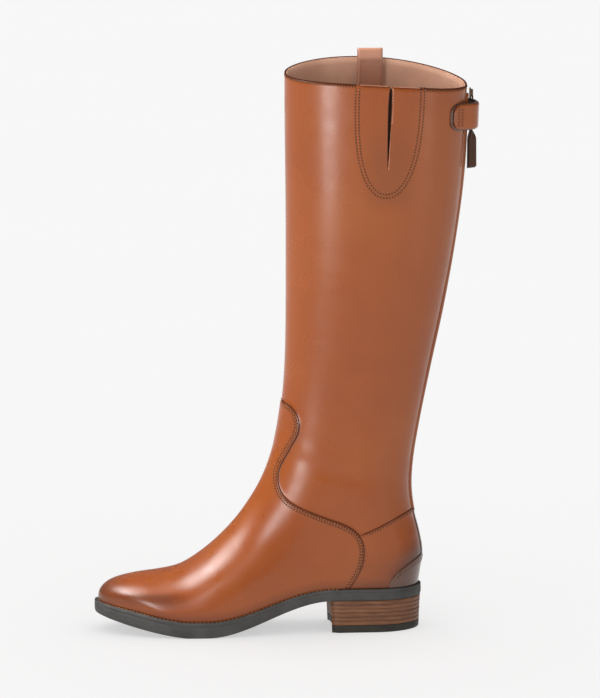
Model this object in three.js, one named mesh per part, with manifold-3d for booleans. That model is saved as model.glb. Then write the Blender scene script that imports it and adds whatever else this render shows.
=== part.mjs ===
// A knee-high riding boot for the left foot, standing empty on its sole.
// Millimetres, +Z up. The toe points towards -X, the outer side of the foot faces -Y.
//
// The upper is a side silhouette filled out sideways: at any point (x, z) inside the silhouette,
// halfWidth() gives how far the leather stands out on one side. It is full in the middle and
// rounds off to nothing at the front and back profiles. Every curved piece reads that one function.

import * as THREE from 'three';
import { mergeVertices } from 'three/addons/utils/BufferGeometryUtils.js';
import Module from 'manifold-3d';

const wasm = await Module();
wasm.setup();

// ---------------------------------------------------------------- driving dimensions

const GAP = 0.3;
const SEAT = 0.6;
const WALL = 2.2;
const ORIGIN = { x: 0.544, y: -1.745 };

const SOLE = {
  toeX: -84,
  tipX: -159.4,
  toeSpring: 15.7,
  toeCurve: 1.25,
  archStartX: -67,
  archEndX: 37,
  heelSeatZ: 27.5,
  tipThickness: 10.5,
  fullThicknessX: -125,
  thickness: 13,
  heelThickness: 9.5,
  weltToe: 3.9,
  weltSide: 3.2,
  edgeRound: 0.9,
};

const HEEL = {
  breastX: 36.5,
  liftHeight: 6.5,
  taper: 1.3,
  inset: 0.6,
  breastHollow: 2.5,
};

const INSOLE = { inset: WALL + 1.0, thickness: 2.6 };

// Front profile from the feather line at the toe to the collar. round is the distance over which
// the leather turns from the profile to its full half-width.
const FRONT = [
  { x: -155.5, z: 26.2, round: 62 },
  { x: -155.2, z: 32.0, round: 60 },
  { x: -150.5, z: 38.6, round: 50 },
  { x: -140.5, z: 43.4, round: 36 },
  { x: -124.0, z: 47.0, round: 31 },
  { x: -104.0, z: 49.6, round: 34 },
  { x: -88.0, z: 53.4, round: 38 },
  { x: -72.0, z: 63.0, round: 42 },
  { x: -55.6, z: 76.6, round: 46 },
  { x: -41.5, z: 91.6, round: 48 },
  { x: -29.5, z: 108.0, round: 49 },
  { x: -19.0, z: 126.5, round: 50 },
  { x: -11.0, z: 148.0, round: 50 },
  { x: -5.0, z: 176.0, round: 50 },
  { x: -1.2, z: 208.0, round: 52 },
  { x: 0.6, z: 252.0, round: 58 },
  { x: 0.6, z: 360.0, round: 68 },
  { x: 0.0, z: 467.5, round: 73 },
];

// Back profile from the feather line at the heel to the collar.
const BACK = [
  { x: 110.4, z: 37.4, round: 36 },
  { x: 112.3, z: 50.0, round: 37 },
  { x: 114.4, z: 64.0, round: 38 },
  { x: 111.8, z: 80.0, round: 41 },
  { x: 107.3, z: 98.0, round: 45 },
  { x: 104.7, z: 118.0, round: 48 },
  { x: 105.6, z: 140.0, round: 50 },
  { x: 110.2, z: 170.0, round: 52 },
  { x: 119.5, z: 217.0, round: 56 },
  { x: 131.0, z: 271.0, round: 62 },
  { x: 141.0, z: 328.0, round: 68 },
  { x: 148.2, z: 385.0, round: 72 },
  { x: 151.7, z: 457.5, round: 73 },
];

// Full half-widths of the foot along its length.
const FOOT = [
  { x: -156, outer: 36.0, inner: 36.0 },
  { x: -125, outer: 40.5, inner: 39.0 },
  { x: -95, outer: 45.0, inner: 42.5 },
  { x: -65, outer: 46.5, inner: 42.0 },
  { x: -35, outer: 43.5, inner: 36.0 },
  { x: 0, outer: 37.0, inner: 29.0 },
  { x: 40, outer: 33.0, inner: 29.5 },
  { x: 80, outer: 32.0, inner: 31.0 },
  { x: 114, outer: 32.0, inner: 31.0 },
];

// Full half-widths of the shaft up its height.
const SHAFT = [
  { z: 60, half: 32.5 },
  { z: 110, half: 33.0 },
  { z: 150, half: 31.5 },
  { z: 190, half: 31.5 },
  { z: 250, half: 35.0 },
  { z: 310, half: 39.0 },
  { z: 380, half: 41.5 },
  { z: 490, half: 41.5 },
];

const ANKLE = { low: 45, high: 120, frontZ: 126.5, backZ: 112 };
const FEATHER = { tuck: 0.045, height: 11 };
const COLLAR = { outerDrop: 1.4, innerRise: 12.6, fadeFrom: 0.8 };

const RINGS = { foot: 22, shaft: 16, around: 44 };
const FOOT_SHARE = 0.5;
const PROFILE_SAMPLES = 90;

const COUNTER = {
  thickness: 1.2,
  reach: 0.63,
  topZ: 63,
  lowEnd: 0.12,
  archPower: 2.6,
  archRoot: 0.6,
  columns: 18,
  rows: 6,
};
const ZIP = { bottomZ: 98, topZ: 449, halfWidth: 4, thickness: 1.4, rows: 30, columns: 4 };
const SLIDER = {
  bottomZ: 444.2,
  topZ: 453.5,
  halfWidth: 4.2,
  thickness: 4.2,
  toothGap: 0.3,
  waist: 0.22,
  chamfer: 0.8,
};

// The pull turns sideways by twist between two shares of its length, counted from its lower end.
const PULL = {
  bottomZ: 387,
  topZ: 443.6,
  halfWidthTop: 3.6,
  halfWidth: 4.2,
  thickness: 2.8,
  twist: 0.95,
  twistStarts: 0.58,
  twistEnds: 0.4,
  swingOut: 0.9,
  swingSide: -2.6,
};

// The strap lies on the shaft beyond liesFlat and stands off fully within standsOff of its half.
const STRAP = {
  middleZ: 432,
  halfHeight: 11.2,
  thickness: 2,
  reach: 0.65,
  slack: 2.6,
  standsOff: 0.25,
  liesFlat: 0.85,
  endRound: 0.22,
  endHeight: 0.45,
  columns: 26,
  rows: 4,
};

const GORE = {
  middleX: 84.8,
  halfWidth: 30,
  depth: 92,
  below: 2.5,
  thickness: 1.2,
  lean: -3.2,
  bottomPower: 2.9,
  bottomRoot: 0.48,
  leastShare: 0.02,
};
const SLIT = {
  x: 85.2,
  mouthHalfWidth: 0.6,
  halfWidth: 1.6,
  widestDepth: 17,
  lowerShare: 0.72,
  tipHalfWidth: 0.15,
  depth: 71,
  lean: -2.8,
  above: 5,
  cutStart: 15,
  cutLength: 40,
};
const LOOP = { x: 73.8, halfWidth: 10.5, above: 8, below: 28, thickness: 1.5, bend: 2.3 };

const COLORS = {
  tan: { color: 0xa85c30, roughness: 0.38, metalness: 0 },
  dark: { color: 0x4a2a1c, roughness: 0.32, metalness: 0 },
  rubber: { color: 0x3a3835, roughness: 0.7, metalness: 0 },
  stack: { color: 0x7a4a2a, roughness: 0.55, metalness: 0 },
  lining: { color: 0xa8836a, roughness: 0.8, metalness: 0 },
  elastic: { color: 0x2a1a14, roughness: 0.9, metalness: 0 },
  metal: { color: 0x6b5640, roughness: 0.35, metalness: 0.9 },
};

// ---------------------------------------------------------------- small helpers

const { lerp, clamp } = THREE.MathUtils;

function ease(value, low, high) {
  return THREE.MathUtils.smoothstep(value, low, high);
}

// Smooth reading of one column of a table whose rows rise along key.
function readTable(table, key, value, column) {
  const last = table.length - 1;
  if (value <= table[0][key]) return table[0][column];
  if (value >= table[last][key]) return table[last][column];
  const i = table.findIndex((row) => row[key] > value) - 1;
  const before = table[Math.max(i - 1, 0)];
  const from = table[i];
  const to = table[i + 1];
  const after = table[Math.min(i + 2, last)];
  const step = to[key] - from[key];
  const slopeIn = (to[column] - before[column]) / (to[key] - before[key]);
  const slopeOut = (after[column] - from[column]) / (after[key] - from[key]);
  const t = (value - from[key]) / step;
  const t2 = t * t;
  const t3 = t2 * t;
  return (2 * t3 - 3 * t2 + 1) * from[column]
    + (t3 - 2 * t2 + t) * step * slopeIn
    + (3 * t2 - 2 * t3) * to[column]
    + (t3 - t2) * step * slopeOut;
}

// A profile as a chain of short segments, with the running length at each joint.
function makeProfile(table) {
  const curve = new THREE.CatmullRomCurve3(
    table.map((row) => new THREE.Vector3(row.x, row.round, row.z)), false, 'centripetal');
  const points = curve.getPoints(PROFILE_SAMPLES).map((p) => ({ x: p.x, z: p.z, round: p.y }));
  let run = 0;
  points.forEach((p, i) => {
    if (i > 0) run += Math.hypot(p.x - points[i - 1].x, p.z - points[i - 1].z);
    p.run = run;
  });
  return points;
}

const frontProfile = makeProfile(FRONT);
const backProfile = makeProfile(BACK);

function profileRead(points, key, value) {
  const beyond = points.findIndex((p) => p[key] > value);
  const i = beyond < 0 ? points.length - 1 : Math.max(beyond, 1);
  const a = points[i - 1];
  const b = points[i];
  const t = clamp((value - a[key]) / (b[key] - a[key]), 0, 1);
  return { x: lerp(a.x, b.x, t), z: lerp(a.z, b.z, t), run: lerp(a.run, b.run, t) };
}

// Least distance from (x, z) to a profile, as a share of the rounding distance there.
function nearness(points, x, z) {
  let least = Infinity;
  for (let i = 1; i < points.length; i += 1) {
    const a = points[i - 1];
    const b = points[i];
    const dx = b.x - a.x;
    const dz = b.z - a.z;
    const t = clamp(((x - a.x) * dx + (z - a.z) * dz) / (dx * dx + dz * dz), 0, 1);
    const distance = Math.hypot(x - a.x - t * dx, z - a.z - t * dz);
    least = Math.min(least, distance / lerp(a.round, b.round, t));
  }
  return least;
}

function roundOff(share) {
  const left = 1 - Math.min(share, 1);
  return Math.sqrt(1 - left * left);
}

// ---------------------------------------------------------------- the sole's own curves

function soleBottom(x) {
  if (x < SOLE.toeX) {
    const share = (SOLE.toeX - x) / (SOLE.toeX - SOLE.tipX);
    return SOLE.toeSpring * share ** SOLE.toeCurve;
  }
  return SOLE.heelSeatZ * ease(x, SOLE.archStartX, SOLE.archEndX);
}

function soleTop(x) {
  const front = lerp(SOLE.tipThickness, SOLE.thickness, ease(x, SOLE.tipX, SOLE.fullThicknessX));
  return soleBottom(x) + lerp(front, SOLE.heelThickness, ease(x, SOLE.archStartX, SOLE.archEndX));
}

// ---------------------------------------------------------------- the upper's surface

function halfWidth(x, z, side) {
  const foot = readTable(FOOT, 'x', x, side);
  const shaft = readTable(SHAFT, 'z', z, 'half');
  const full = lerp(foot, shaft, ease(z, ANKLE.low, ANKLE.high));
  const above = clamp((z - soleTop(x)) / FEATHER.height, 0, 1);
  const tuck = 1 - FEATHER.tuck * (1 - above) ** 2;
  return full * tuck * roundOff(nearness(frontProfile, x, z)) * roundOff(nearness(backProfile, x, z));
}

const ankleRun = {
  front: profileRead(frontProfile, 'z', ANKLE.frontZ).run,
  back: profileRead(backProfile, 'z', ANKLE.backZ).run,
};

// Point of a profile at the ring v: 0 is the feather line, FOOT_SHARE the ankle, 1 the collar.
function ringEnd(points, ankle, v) {
  const total = points.at(-1).run;
  const run = v < FOOT_SHARE
    ? lerp(0, ankle, v / FOOT_SHARE)
    : lerp(ankle, total, (v - FOOT_SHARE) / (1 - FOOT_SHARE));
  return profileRead(points, 'run', run);
}

// Point of the upper's outer face. phi runs from the front (0) past the outer side to the back (PI).
function surface(v, phi) {
  const front = ringEnd(frontProfile, ankleRun.front, v);
  const back = ringEnd(backProfile, ankleRun.back, v);
  const t = (1 - Math.cos(phi)) / 2;
  const x = lerp(front.x, back.x, t);
  const soleChord = lerp(soleTop(front.x), soleTop(back.x), t);
  const sag = (soleTop(x) - soleChord) * (1 - ease(v, 0, FOOT_SHARE));
  const middle = (COLLAR.innerRise - COLLAR.outerDrop) / 2;
  const lean = (COLLAR.innerRise + COLLAR.outerDrop) / 2;
  const turn = Math.sin(phi);
  const rise = (middle * turn * turn - lean * turn) * ease(v, COLLAR.fadeFrom, 1);
  const z = lerp(front.z, back.z, t) + sag + rise;
  const onEdge = Math.abs(turn) < 1e-9;
  const width = onEdge ? 0 : halfWidth(x, z, turn > 0 ? 'outer' : 'inner');
  return new THREE.Vector3(x, turn > 0 ? -width : width, z);
}

function surfaceNormal(v, phi) {
  const dv = 0.004;
  const dphi = 0.02;
  const low = Math.max(v - dv, 0);
  const high = Math.min(v + dv, 1);
  const up = surface(high, phi).sub(surface(low, phi));
  const along = surface(v, phi + dphi).sub(surface(v, phi - dphi));
  const normal = along.cross(up).normalize();
  if (v === 0 || v === 1) normal.setZ(0).normalize();
  return normal;
}

function offsetSurface(v, phi, distance) {
  return surface(v, phi).addScaledVector(surfaceNormal(v, phi), distance);
}

// Ring v that passes height z at the angle phi.
function ringAtHeight(z, phi) {
  let low = 0;
  let high = 1;
  for (let i = 0; i < 24; i += 1) {
    const middle = (low + high) / 2;
    if (surface(middle, phi).z < z) low = middle;
    else high = middle;
  }
  return (low + high) / 2;
}

// ---------------------------------------------------------------- building closed bodies

function grid(rows, columns, point) {
  return Array.from({ length: rows + 1 }, (_, i) => (
    Array.from({ length: columns + 1 }, (__, j) => point(i / rows, j / columns))
  ));
}

function closedGeometry(triangles) {
  const raw = new THREE.BufferGeometry();
  const numbers = triangles.flatMap((corners) => corners.flatMap((p) => [p.x, p.y, p.z]));
  raw.setAttribute('position', new THREE.Float32BufferAttribute(numbers, 3));
  const merged = mergeVertices(raw, 1e-3);
  const index = merged.getIndex().array;
  const kept = [];
  for (let i = 0; i < index.length; i += 3) {
    const [a, b, c] = [index[i], index[i + 1], index[i + 2]];
    if (a !== b && b !== c && c !== a) kept.push(a, b, c);
  }
  merged.setIndex(signedVolume(merged, kept) < 0 ? kept.reverse() : kept);
  return merged;
}

function signedVolume(geometry, index) {
  const position = geometry.getAttribute('position');
  const corner = [new THREE.Vector3(), new THREE.Vector3(), new THREE.Vector3()];
  let volume = 0;
  for (let i = 0; i < index.length; i += 3) {
    corner.forEach((p, k) => p.fromBufferAttribute(position, index[i + k]));
    volume += corner[0].dot(corner[1].cross(corner[2]));
  }
  return volume;
}

function quad(a, b, c, d) {
  return [[a, b, c], [a, c, d]];
}

function sheetTriangles(points) {
  const out = [];
  for (let i = 0; i + 1 < points.length; i += 1) {
    for (let j = 0; j + 1 < points[i].length; j += 1) {
      out.push(...quad(points[i][j], points[i + 1][j], points[i + 1][j + 1], points[i][j + 1]));
    }
  }
  return out;
}

function stitch(lineA, lineB) {
  return lineA.slice(1).flatMap((_, i) => quad(lineA[i], lineA[i + 1], lineB[i + 1], lineB[i]));
}

// Body between two sheets of the same grid. A sheet that runs all the way round has no side edges.
function bodyBetween(outside, inside, runsRound = false) {
  const side = (points, j) => points.map((row) => row.at(j));
  const triangles = [
    ...sheetTriangles(outside),
    ...sheetTriangles(inside).map(([a, b, c]) => [a, c, b]),
    ...stitch(outside[0], inside[0]),
    ...stitch(inside.at(-1), outside.at(-1)),
  ];
  if (!runsRound) {
    triangles.push(...stitch(side(inside, 0), side(outside, 0)));
    triangles.push(...stitch(side(outside, -1), side(inside, -1)));
  }
  return closedGeometry(triangles);
}

function toSolid(geometry) {
  return new wasm.Manifold(new wasm.Mesh({
    numProp: 3,
    vertProperties: new Float32Array(geometry.getAttribute('position').array),
    triVerts: new Uint32Array(geometry.getIndex().array),
  }));
}

function toGeometry(solid) {
  const mesh = solid.getMesh();
  const geometry = new THREE.BufferGeometry();
  geometry.setAttribute('position', new THREE.Float32BufferAttribute(mesh.vertProperties, 3));
  geometry.setIndex(Array.from(mesh.triVerts));
  return geometry;
}

function node(name, geometry, look) {
  const mesh = new THREE.Mesh(geometry, new THREE.MeshStandardMaterial(look));
  mesh.name = name;
  return mesh;
}

// ---------------------------------------------------------------- sole, heel and insole

// Plan point on the feather line, moved outwards by margin.
function planEdge(phi, margin) {
  const dphi = 0.02;
  const here = surface(0, phi);
  const along = surface(0, phi + dphi).sub(surface(0, phi - dphi));
  const outwards = new THREE.Vector2(along.y, -along.x).normalize();
  return new THREE.Vector2(here.x, here.y).addScaledVector(outwards, margin);
}

function weltMargin(phi) {
  return lerp(SOLE.weltToe, SOLE.weltSide, ease(Math.abs(Math.sin(phi)), 0, 0.5));
}

// Plate whose cross rows run from the outer edge to the inner edge, for phi from start to end.
function plateSheet(phiRange, margin, height, stations = 40, across = 6) {
  return grid(stations, across, (s, w) => {
    const phi = lerp(phiRange[0], phiRange[1], s);
    const outer = planEdge(phi, margin(phi));
    const inner = planEdge(2 * Math.PI - phi, margin(2 * Math.PI - phi));
    const p = outer.lerp(inner, w);
    return new THREE.Vector3(p.x, p.y, height(p.x));
  });
}

function makeOutsole() {
  const whole = [0, Math.PI];
  const rounded = (phi) => weltMargin(phi) - SOLE.edgeRound;
  const top = plateSheet(whole, weltMargin, soleTop);
  const bottom = plateSheet(whole, rounded, soleBottom);
  return bodyBetween(top, bottom);
}

// Heel block between two heights; its back and sides follow the sole and taper downwards.
function heelBlock(topZ, bottomZ) {
  const stations = 12;
  const across = 6;
  const face = (z) => {
    const drop = (SOLE.heelSeatZ - z) / SOLE.heelSeatZ;
    const margin = (phi) => weltMargin(phi) - HEEL.inset - HEEL.taper * drop;
    const breast = breastAngle(HEEL.breastX + HEEL.taper * drop);
    const sheet = plateSheet([breast, Math.PI], margin, () => z, stations, across);
    sheet[0].forEach((p, j) => {
      const w = j / across;
      p.x += HEEL.breastHollow * 4 * w * (1 - w);
    });
    return sheet;
  };
  return bodyBetween(face(topZ), face(bottomZ));
}

// Angle phi at which the feather line reaches the given x.
function breastAngle(x) {
  const t = (x - frontProfile[0].x) / (backProfile[0].x - frontProfile[0].x);
  return Math.acos(1 - 2 * t);
}

function makeInsole() {
  const whole = [0, Math.PI];
  const inset = () => -INSOLE.inset;
  const top = plateSheet(whole, inset, (x) => soleTop(x) + GAP + INSOLE.thickness, 36, 4);
  const bottom = plateSheet(whole, inset, (x) => soleTop(x) + GAP, 36, 4);
  return bodyBetween(top, bottom);
}

// ---------------------------------------------------------------- the upper

function ringShare(i) {
  return i <= RINGS.foot
    ? (FOOT_SHARE * i) / RINGS.foot
    : FOOT_SHARE + ((1 - FOOT_SHARE) * (i - RINGS.foot)) / RINGS.shaft;
}

function makeUpper() {
  const rings = RINGS.foot + RINGS.shaft;
  const sheet = (distance) => grid(rings, RINGS.around, (s, w) => {
    const v = ringShare(Math.round(s * rings));
    const phi = w === 1 ? 0 : 2 * Math.PI * w;
    return offsetSurface(v, phi, distance);
  });
  const wall = bodyBetween(sheet(0), sheet(-WALL), true);
  return toGeometry(toSolid(wall).subtract(toSolid(slitWedge())));
}

// Narrow leaf-shaped wedge that slits the outer side, widest a little below the collar.
function slitWedge() {
  const pointAt = (depth, half) => {
    const x = SLIT.x + (SLIT.lean * Math.max(depth, 0)) / SLIT.depth;
    return new THREE.Vector2(x + half, COLLAR_TOP - depth);
  };
  const rows = [
    [-SLIT.above, SLIT.mouthHalfWidth],
    [0, SLIT.mouthHalfWidth],
    [SLIT.widestDepth, SLIT.halfWidth],
    [(SLIT.widestDepth + SLIT.depth) / 2, SLIT.halfWidth * SLIT.lowerShare],
    [SLIT.depth, SLIT.tipHalfWidth],
  ];
  const leftSide = rows.map(([depth, half]) => pointAt(depth, -half));
  const rightSide = rows.map(([depth, half]) => pointAt(depth, half)).reverse();
  const outline = new THREE.Shape([...leftSide, ...rightSide]);
  const wedge = new THREE.ExtrudeGeometry(outline, { depth: SLIT.cutLength, bevelEnabled: false });
  wedge.rotateX(Math.PI / 2);
  wedge.translate(0, -SLIT.cutStart, 0);
  wedge.deleteAttribute('normal');
  wedge.deleteAttribute('uv');
  return mergeVertices(wedge, 1e-3);
}

const COLLAR_TOP = surface(1, Math.PI / 2).z;

// ---------------------------------------------------------------- pieces laid on the upper

function makeCounter() {
  const ring = ringAtHeight(COUNTER.topZ, Math.PI);
  const sheet = (distance) => grid(COUNTER.rows, COUNTER.columns, (s, w) => {
    const swing = 2 * w - 1;
    const height = Math.max(1 - Math.abs(swing) ** COUNTER.archPower, 0) ** COUNTER.archRoot;
    const v = ring * s * lerp(COUNTER.lowEnd, 1, height);
    return offsetSurface(v, Math.PI + COUNTER.reach * swing, distance);
  });
  return bodyBetween(sheet(SEAT + COUNTER.thickness), sheet(SEAT));
}

// Sheet up the back seam between two heights, at a distance off the leather.
function backSheet(size, distance, halfWidthAt) {
  return grid(size.rows, size.columns, (s, w) => {
    const z = lerp(size.bottomZ, size.topZ, s);
    const swing = Math.asin(halfWidthAt(s) / readTable(SHAFT, 'z', z, 'half'));
    const phi = Math.PI + (2 * w - 1) * swing;
    return offsetSurface(ringAtHeight(z, phi), phi, distance);
  });
}

function makeZip() {
  const even = () => ZIP.halfWidth;
  return bodyBetween(backSheet(ZIP, SEAT + ZIP.thickness, even), backSheet(ZIP, SEAT, even));
}

// Height of the outer face of the zip at the back seam.
function zipFaceX(z) {
  return profileRead(backProfile, 'z', z).x + SEAT + ZIP.thickness;
}

function makeSlider() {
  const { bottomZ, topZ, halfWidth: half, thickness, toothGap } = SLIDER;
  const inner = Math.max(zipFaceX(bottomZ), zipFaceX(topZ)) + toothGap;
  const middle = (bottomZ + topZ) / 2;
  const face = (x, shrink) => grid(4, 2, (s, w) => {
    const z = lerp(bottomZ + shrink, topZ - shrink, s);
    const waist = 1 - SLIDER.waist * (1 - Math.abs(z - middle) / (topZ - middle));
    return new THREE.Vector3(x, (2 * w - 1) * (half - shrink) * waist, z);
  });
  return bodyBetween(face(inner + thickness, SLIDER.chamfer), face(inner, 0));
}

// Leather strip that hangs from the slider, flat behind the back strap and turned sideways below it.
function makePull() {
  const rows = 14;
  const inner = zipFaceX(STRAP.middleZ + STRAP.halfHeight) + GAP;
  const face = (distance) => grid(rows, 2, (s, w) => {
    const free = 1 - ease(s, PULL.twistEnds, PULL.twistStarts);
    const turn = PULL.twist * free;
    const across = (2 * w - 1) * lerp(PULL.halfWidth, PULL.halfWidthTop, s);
    const off = distance - PULL.thickness / 2;
    const middleX = inner + PULL.thickness / 2 + PULL.swingOut * free;
    const x = middleX + off * Math.cos(turn) + across * Math.sin(turn);
    const y = PULL.swingSide * free - off * Math.sin(turn) + across * Math.cos(turn);
    return new THREE.Vector3(x, y, lerp(PULL.bottomZ, PULL.topZ, s));
  });
  return bodyBetween(face(PULL.thickness), face(0));
}

// Strap round the back: flat on the shaft at both ends, standing off over the zip and its pull.
function makeStrap() {
  const clearance = SEAT + ZIP.thickness + PULL.thickness + STRAP.slack;
  const sheet = (extra) => grid(STRAP.rows, STRAP.columns, (s, w) => {
    const swing = 2 * w - 1;
    const phi = Math.PI + STRAP.reach * swing;
    const fromEnd = Math.min((1 - Math.abs(swing)) / STRAP.endRound, 1);
    const half = STRAP.halfHeight * lerp(STRAP.endHeight, 1, Math.sqrt(1 - (1 - fromEnd) ** 2));
    const z = STRAP.middleZ + (2 * s - 1) * half;
    const lift = lerp(clearance, SEAT, ease(Math.abs(swing), STRAP.standsOff, STRAP.liesFlat));
    return offsetSurface(ringAtHeight(z, phi), phi, lift + extra);
  });
  return bodyBetween(sheet(STRAP.thickness), sheet(0));
}

// Point on the outer side of the shaft, moved along the local normal.
function sidePoint(x, z, distance) {
  const step = 0.5;
  const y = -halfWidth(x, z, 'outer');
  const slopeX = (halfWidth(x + step, z, 'outer') - halfWidth(x - step, z, 'outer')) / (2 * step);
  const slopeZ = (halfWidth(x, z + step, 'outer') - halfWidth(x, z - step, 'outer')) / (2 * step);
  const outwards = new THREE.Vector3(-slopeX, -1, -slopeZ).normalize();
  return new THREE.Vector3(x, y, z).addScaledVector(outwards, distance);
}

// Elastic panel behind the slit, round at its lower end.
function makeGore() {
  const top = COLLAR_TOP - GORE.below;
  const sheet = (distance) => grid(12, 8, (s, w) => {
    const share = Math.max(1 - s ** GORE.bottomPower, GORE.leastShare);
    const half = GORE.halfWidth * share ** GORE.bottomRoot;
    const x = GORE.middleX + GORE.lean * s + (2 * w - 1) * half;
    return sidePoint(x, top - GORE.depth * s, distance);
  });
  return bodyBetween(sheet(-WALL - SEAT), sheet(-WALL - SEAT - GORE.thickness));
}

// Folded tab inside the inner side, standing above the collar as a finger loop.
function makeLoop() {
  const phi = 2 * Math.PI - Math.acos(1 - (2 * LOOP.x) / backProfile.at(-1).x);
  const rimZ = surface(1, phi).z;
  const reach = [-LOOP.halfWidth, LOOP.halfWidth];
  const wallY = Math.min(...reach.map((dx) => halfWidth(LOOP.x + dx, rimZ - LOOP.below, 'inner')));
  const y0 = wallY - WALL - 2 * GAP - LOOP.bend;
  const turns = 8;
  const line = (radius) => {
    const arc = Array.from({ length: turns + 1 }, (_, i) => {
      const a = (Math.PI * i) / turns;
      return [y0 + radius * Math.cos(a), rimZ + LOOP.above - LOOP.bend + radius * Math.sin(a)];
    });
    return [[y0 + radius, rimZ - LOOP.below], ...arc, [y0 - radius, rimZ - LOOP.below]];
  };
  const sheet = (radius) => line(radius).map(([y, z]) => (
    reach.map((dx) => new THREE.Vector3(LOOP.x + dx, y, z))
  ));
  return bodyBetween(sheet(LOOP.bend), sheet(LOOP.bend - LOOP.thickness));
}

// ---------------------------------------------------------------- the boot

const boot = new THREE.Group();
boot.add(
  node('outsole', makeOutsole(), COLORS.rubber),
  node('heel_stack', heelBlock(SOLE.heelSeatZ - GAP, HEEL.liftHeight + GAP), COLORS.stack),
  node('heel_lift', heelBlock(HEEL.liftHeight, 0), COLORS.rubber),
  node('upper', makeUpper(), COLORS.tan),
  node('insole', makeInsole(), COLORS.lining),
  node('heel_counter', makeCounter(), COLORS.dark),
  node('zip', makeZip(), COLORS.metal),
  node('zip_slider', makeSlider(), COLORS.metal),
  node('zip_pull', makePull(), COLORS.dark),
  node('back_strap', makeStrap(), COLORS.tan),
  node('gore', makeGore(), COLORS.elastic),
  node('pull_loop', makeLoop(), COLORS.tan),
);
boot.position.set(-ORIGIN.x, -ORIGIN.y, 0);

export default boot;
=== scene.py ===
"""Knee-high riding boot: the looks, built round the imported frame.

Lengths below are in millimetres in the boot's own modelling frame and become metres in mesh().
The camera, the floor and the lights are in metres.
The upper's surface is the one the CAD uses: a side silhouette filled out sideways.
"""
import math

import bmesh
import bpy
import numpy as np
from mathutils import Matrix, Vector


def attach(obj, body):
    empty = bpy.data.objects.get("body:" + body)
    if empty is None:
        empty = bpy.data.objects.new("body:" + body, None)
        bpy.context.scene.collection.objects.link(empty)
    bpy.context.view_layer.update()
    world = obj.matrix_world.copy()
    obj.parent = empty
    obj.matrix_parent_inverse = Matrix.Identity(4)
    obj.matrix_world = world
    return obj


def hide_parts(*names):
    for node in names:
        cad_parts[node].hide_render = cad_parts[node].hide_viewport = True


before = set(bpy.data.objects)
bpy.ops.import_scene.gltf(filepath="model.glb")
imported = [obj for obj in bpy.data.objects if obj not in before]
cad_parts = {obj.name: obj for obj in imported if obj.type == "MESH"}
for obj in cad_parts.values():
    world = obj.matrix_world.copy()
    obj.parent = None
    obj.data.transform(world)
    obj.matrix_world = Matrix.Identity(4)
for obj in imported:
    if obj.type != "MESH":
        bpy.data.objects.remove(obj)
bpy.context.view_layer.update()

MM = 0.001
ORIGIN = np.array([0.544, -1.745, 0.0])

# ---------------- sizes shared with the CAD

WALL = 2.2
LEATHER = 1.25  # the outer leather's share of the wall; the lining lies behind it
FRONT = [  # x, round, z: the front profile from the toe to the collar
    (-155.5, 62, 26.2), (-155.2, 60, 32.0), (-150.5, 50, 38.6), (-140.5, 36, 43.4),
    (-124.0, 31, 47.0), (-104.0, 34, 49.6), (-88.0, 38, 53.4), (-72.0, 42, 63.0),
    (-55.6, 46, 76.6), (-41.5, 48, 91.6), (-29.5, 49, 108.0), (-19.0, 50, 126.5),
    (-11.0, 50, 148.0), (-5.0, 50, 176.0), (-1.2, 52, 208.0), (0.6, 58, 252.0),
    (0.6, 68, 360.0), (0.0, 73, 467.5),
]
BACK = [  # x, round, z: the back profile from the heel to the collar
    (110.4, 36, 37.4), (112.3, 37, 50.0), (114.4, 38, 64.0), (111.8, 41, 80.0),
    (107.3, 45, 98.0), (104.7, 48, 118.0), (105.6, 50, 140.0), (110.2, 52, 170.0),
    (119.5, 56, 217.0), (131.0, 62, 271.0), (141.0, 68, 328.0), (148.2, 72, 385.0),
    (151.7, 73, 457.5),
]
FOOT = [  # x, outer half-width, inner half-width
    (-156, 36.0, 36.0), (-125, 40.5, 39.0), (-95, 45.0, 42.5), (-65, 46.5, 42.0),
    (-35, 43.5, 36.0), (0, 37.0, 29.0), (40, 33.0, 29.5), (80, 32.0, 31.0), (114, 32.0, 31.0),
]
SHAFT = [  # z, half-width
    (60, 32.5), (110, 33.0), (150, 31.5), (190, 31.5),
    (250, 35.0), (310, 39.0), (380, 41.5), (490, 41.5),
]
SOLE = dict(toe_x=-84, tip_x=-159.4, spring=15.7, curve=1.25, arch0=-67, arch1=37, seat=27.5,
            tip_thick=10.5, full_x=-125, thick=13, heel_thick=9.5, welt_toe=3.9, welt_side=3.2)
HEEL = dict(breast=36.5, lift=6.5, taper=1.3, inset=0.6, hollow=2.5, corner=3.2, corner_run=7)
HEEL_LAYERS = (0.0, 0.10, 0.03, 0.13, 0.05, 0.02)  # how far each is set in, from the lift up
TREAD = dict(depth=0.35, pitch=7)
COUNTER = dict(top=63.0, swing=0.63, low_end=0.12, power=2.6, root=0.6, rise=0.75, crown=0.85, stitch=1.55)
ANKLE = dict(low=45, high=120, front_z=126.5, back_z=112)
TUCK = dict(share=0.045, height=11)
COLLAR = dict(drop=1.4, rise=12.6, fade=0.8, depth=152)
SHARE = 0.5
SLIT = dict(x=85.2, mouth=0.6, half=1.6, widest=17, depth=71, lean=-2.8)
GORE = dict(x=84.8, half=28.6, depth=91.5, lean=-3.2)
ZIP = dict(low=98, high=449, half=5.4, tooth_pitch=1.7)
FLAP = dict(gap=0.06, ridge=0.45, top=1.85, fold=1.35, fall=1.77, inside=-0.3)
STRAP = dict(z=432, half=11.2, reach=0.65, lift=8.0, thick=2.0, bridge=0.62, end_height=0.35)
PULL = dict(low=387, high=443.6, half_low=4.2, half_top=3.6, thick=2.8, twist=0.95, twist_from=0.58,
            twist_to=0.40, out=0.9, side=-2.6)
LOOP = dict(x=73.8, half=10.5, above=8, below=28, thick=1.5, bend=2.3)
STAY = dict(low=60.0, high=100.0, half=5.2)
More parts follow.
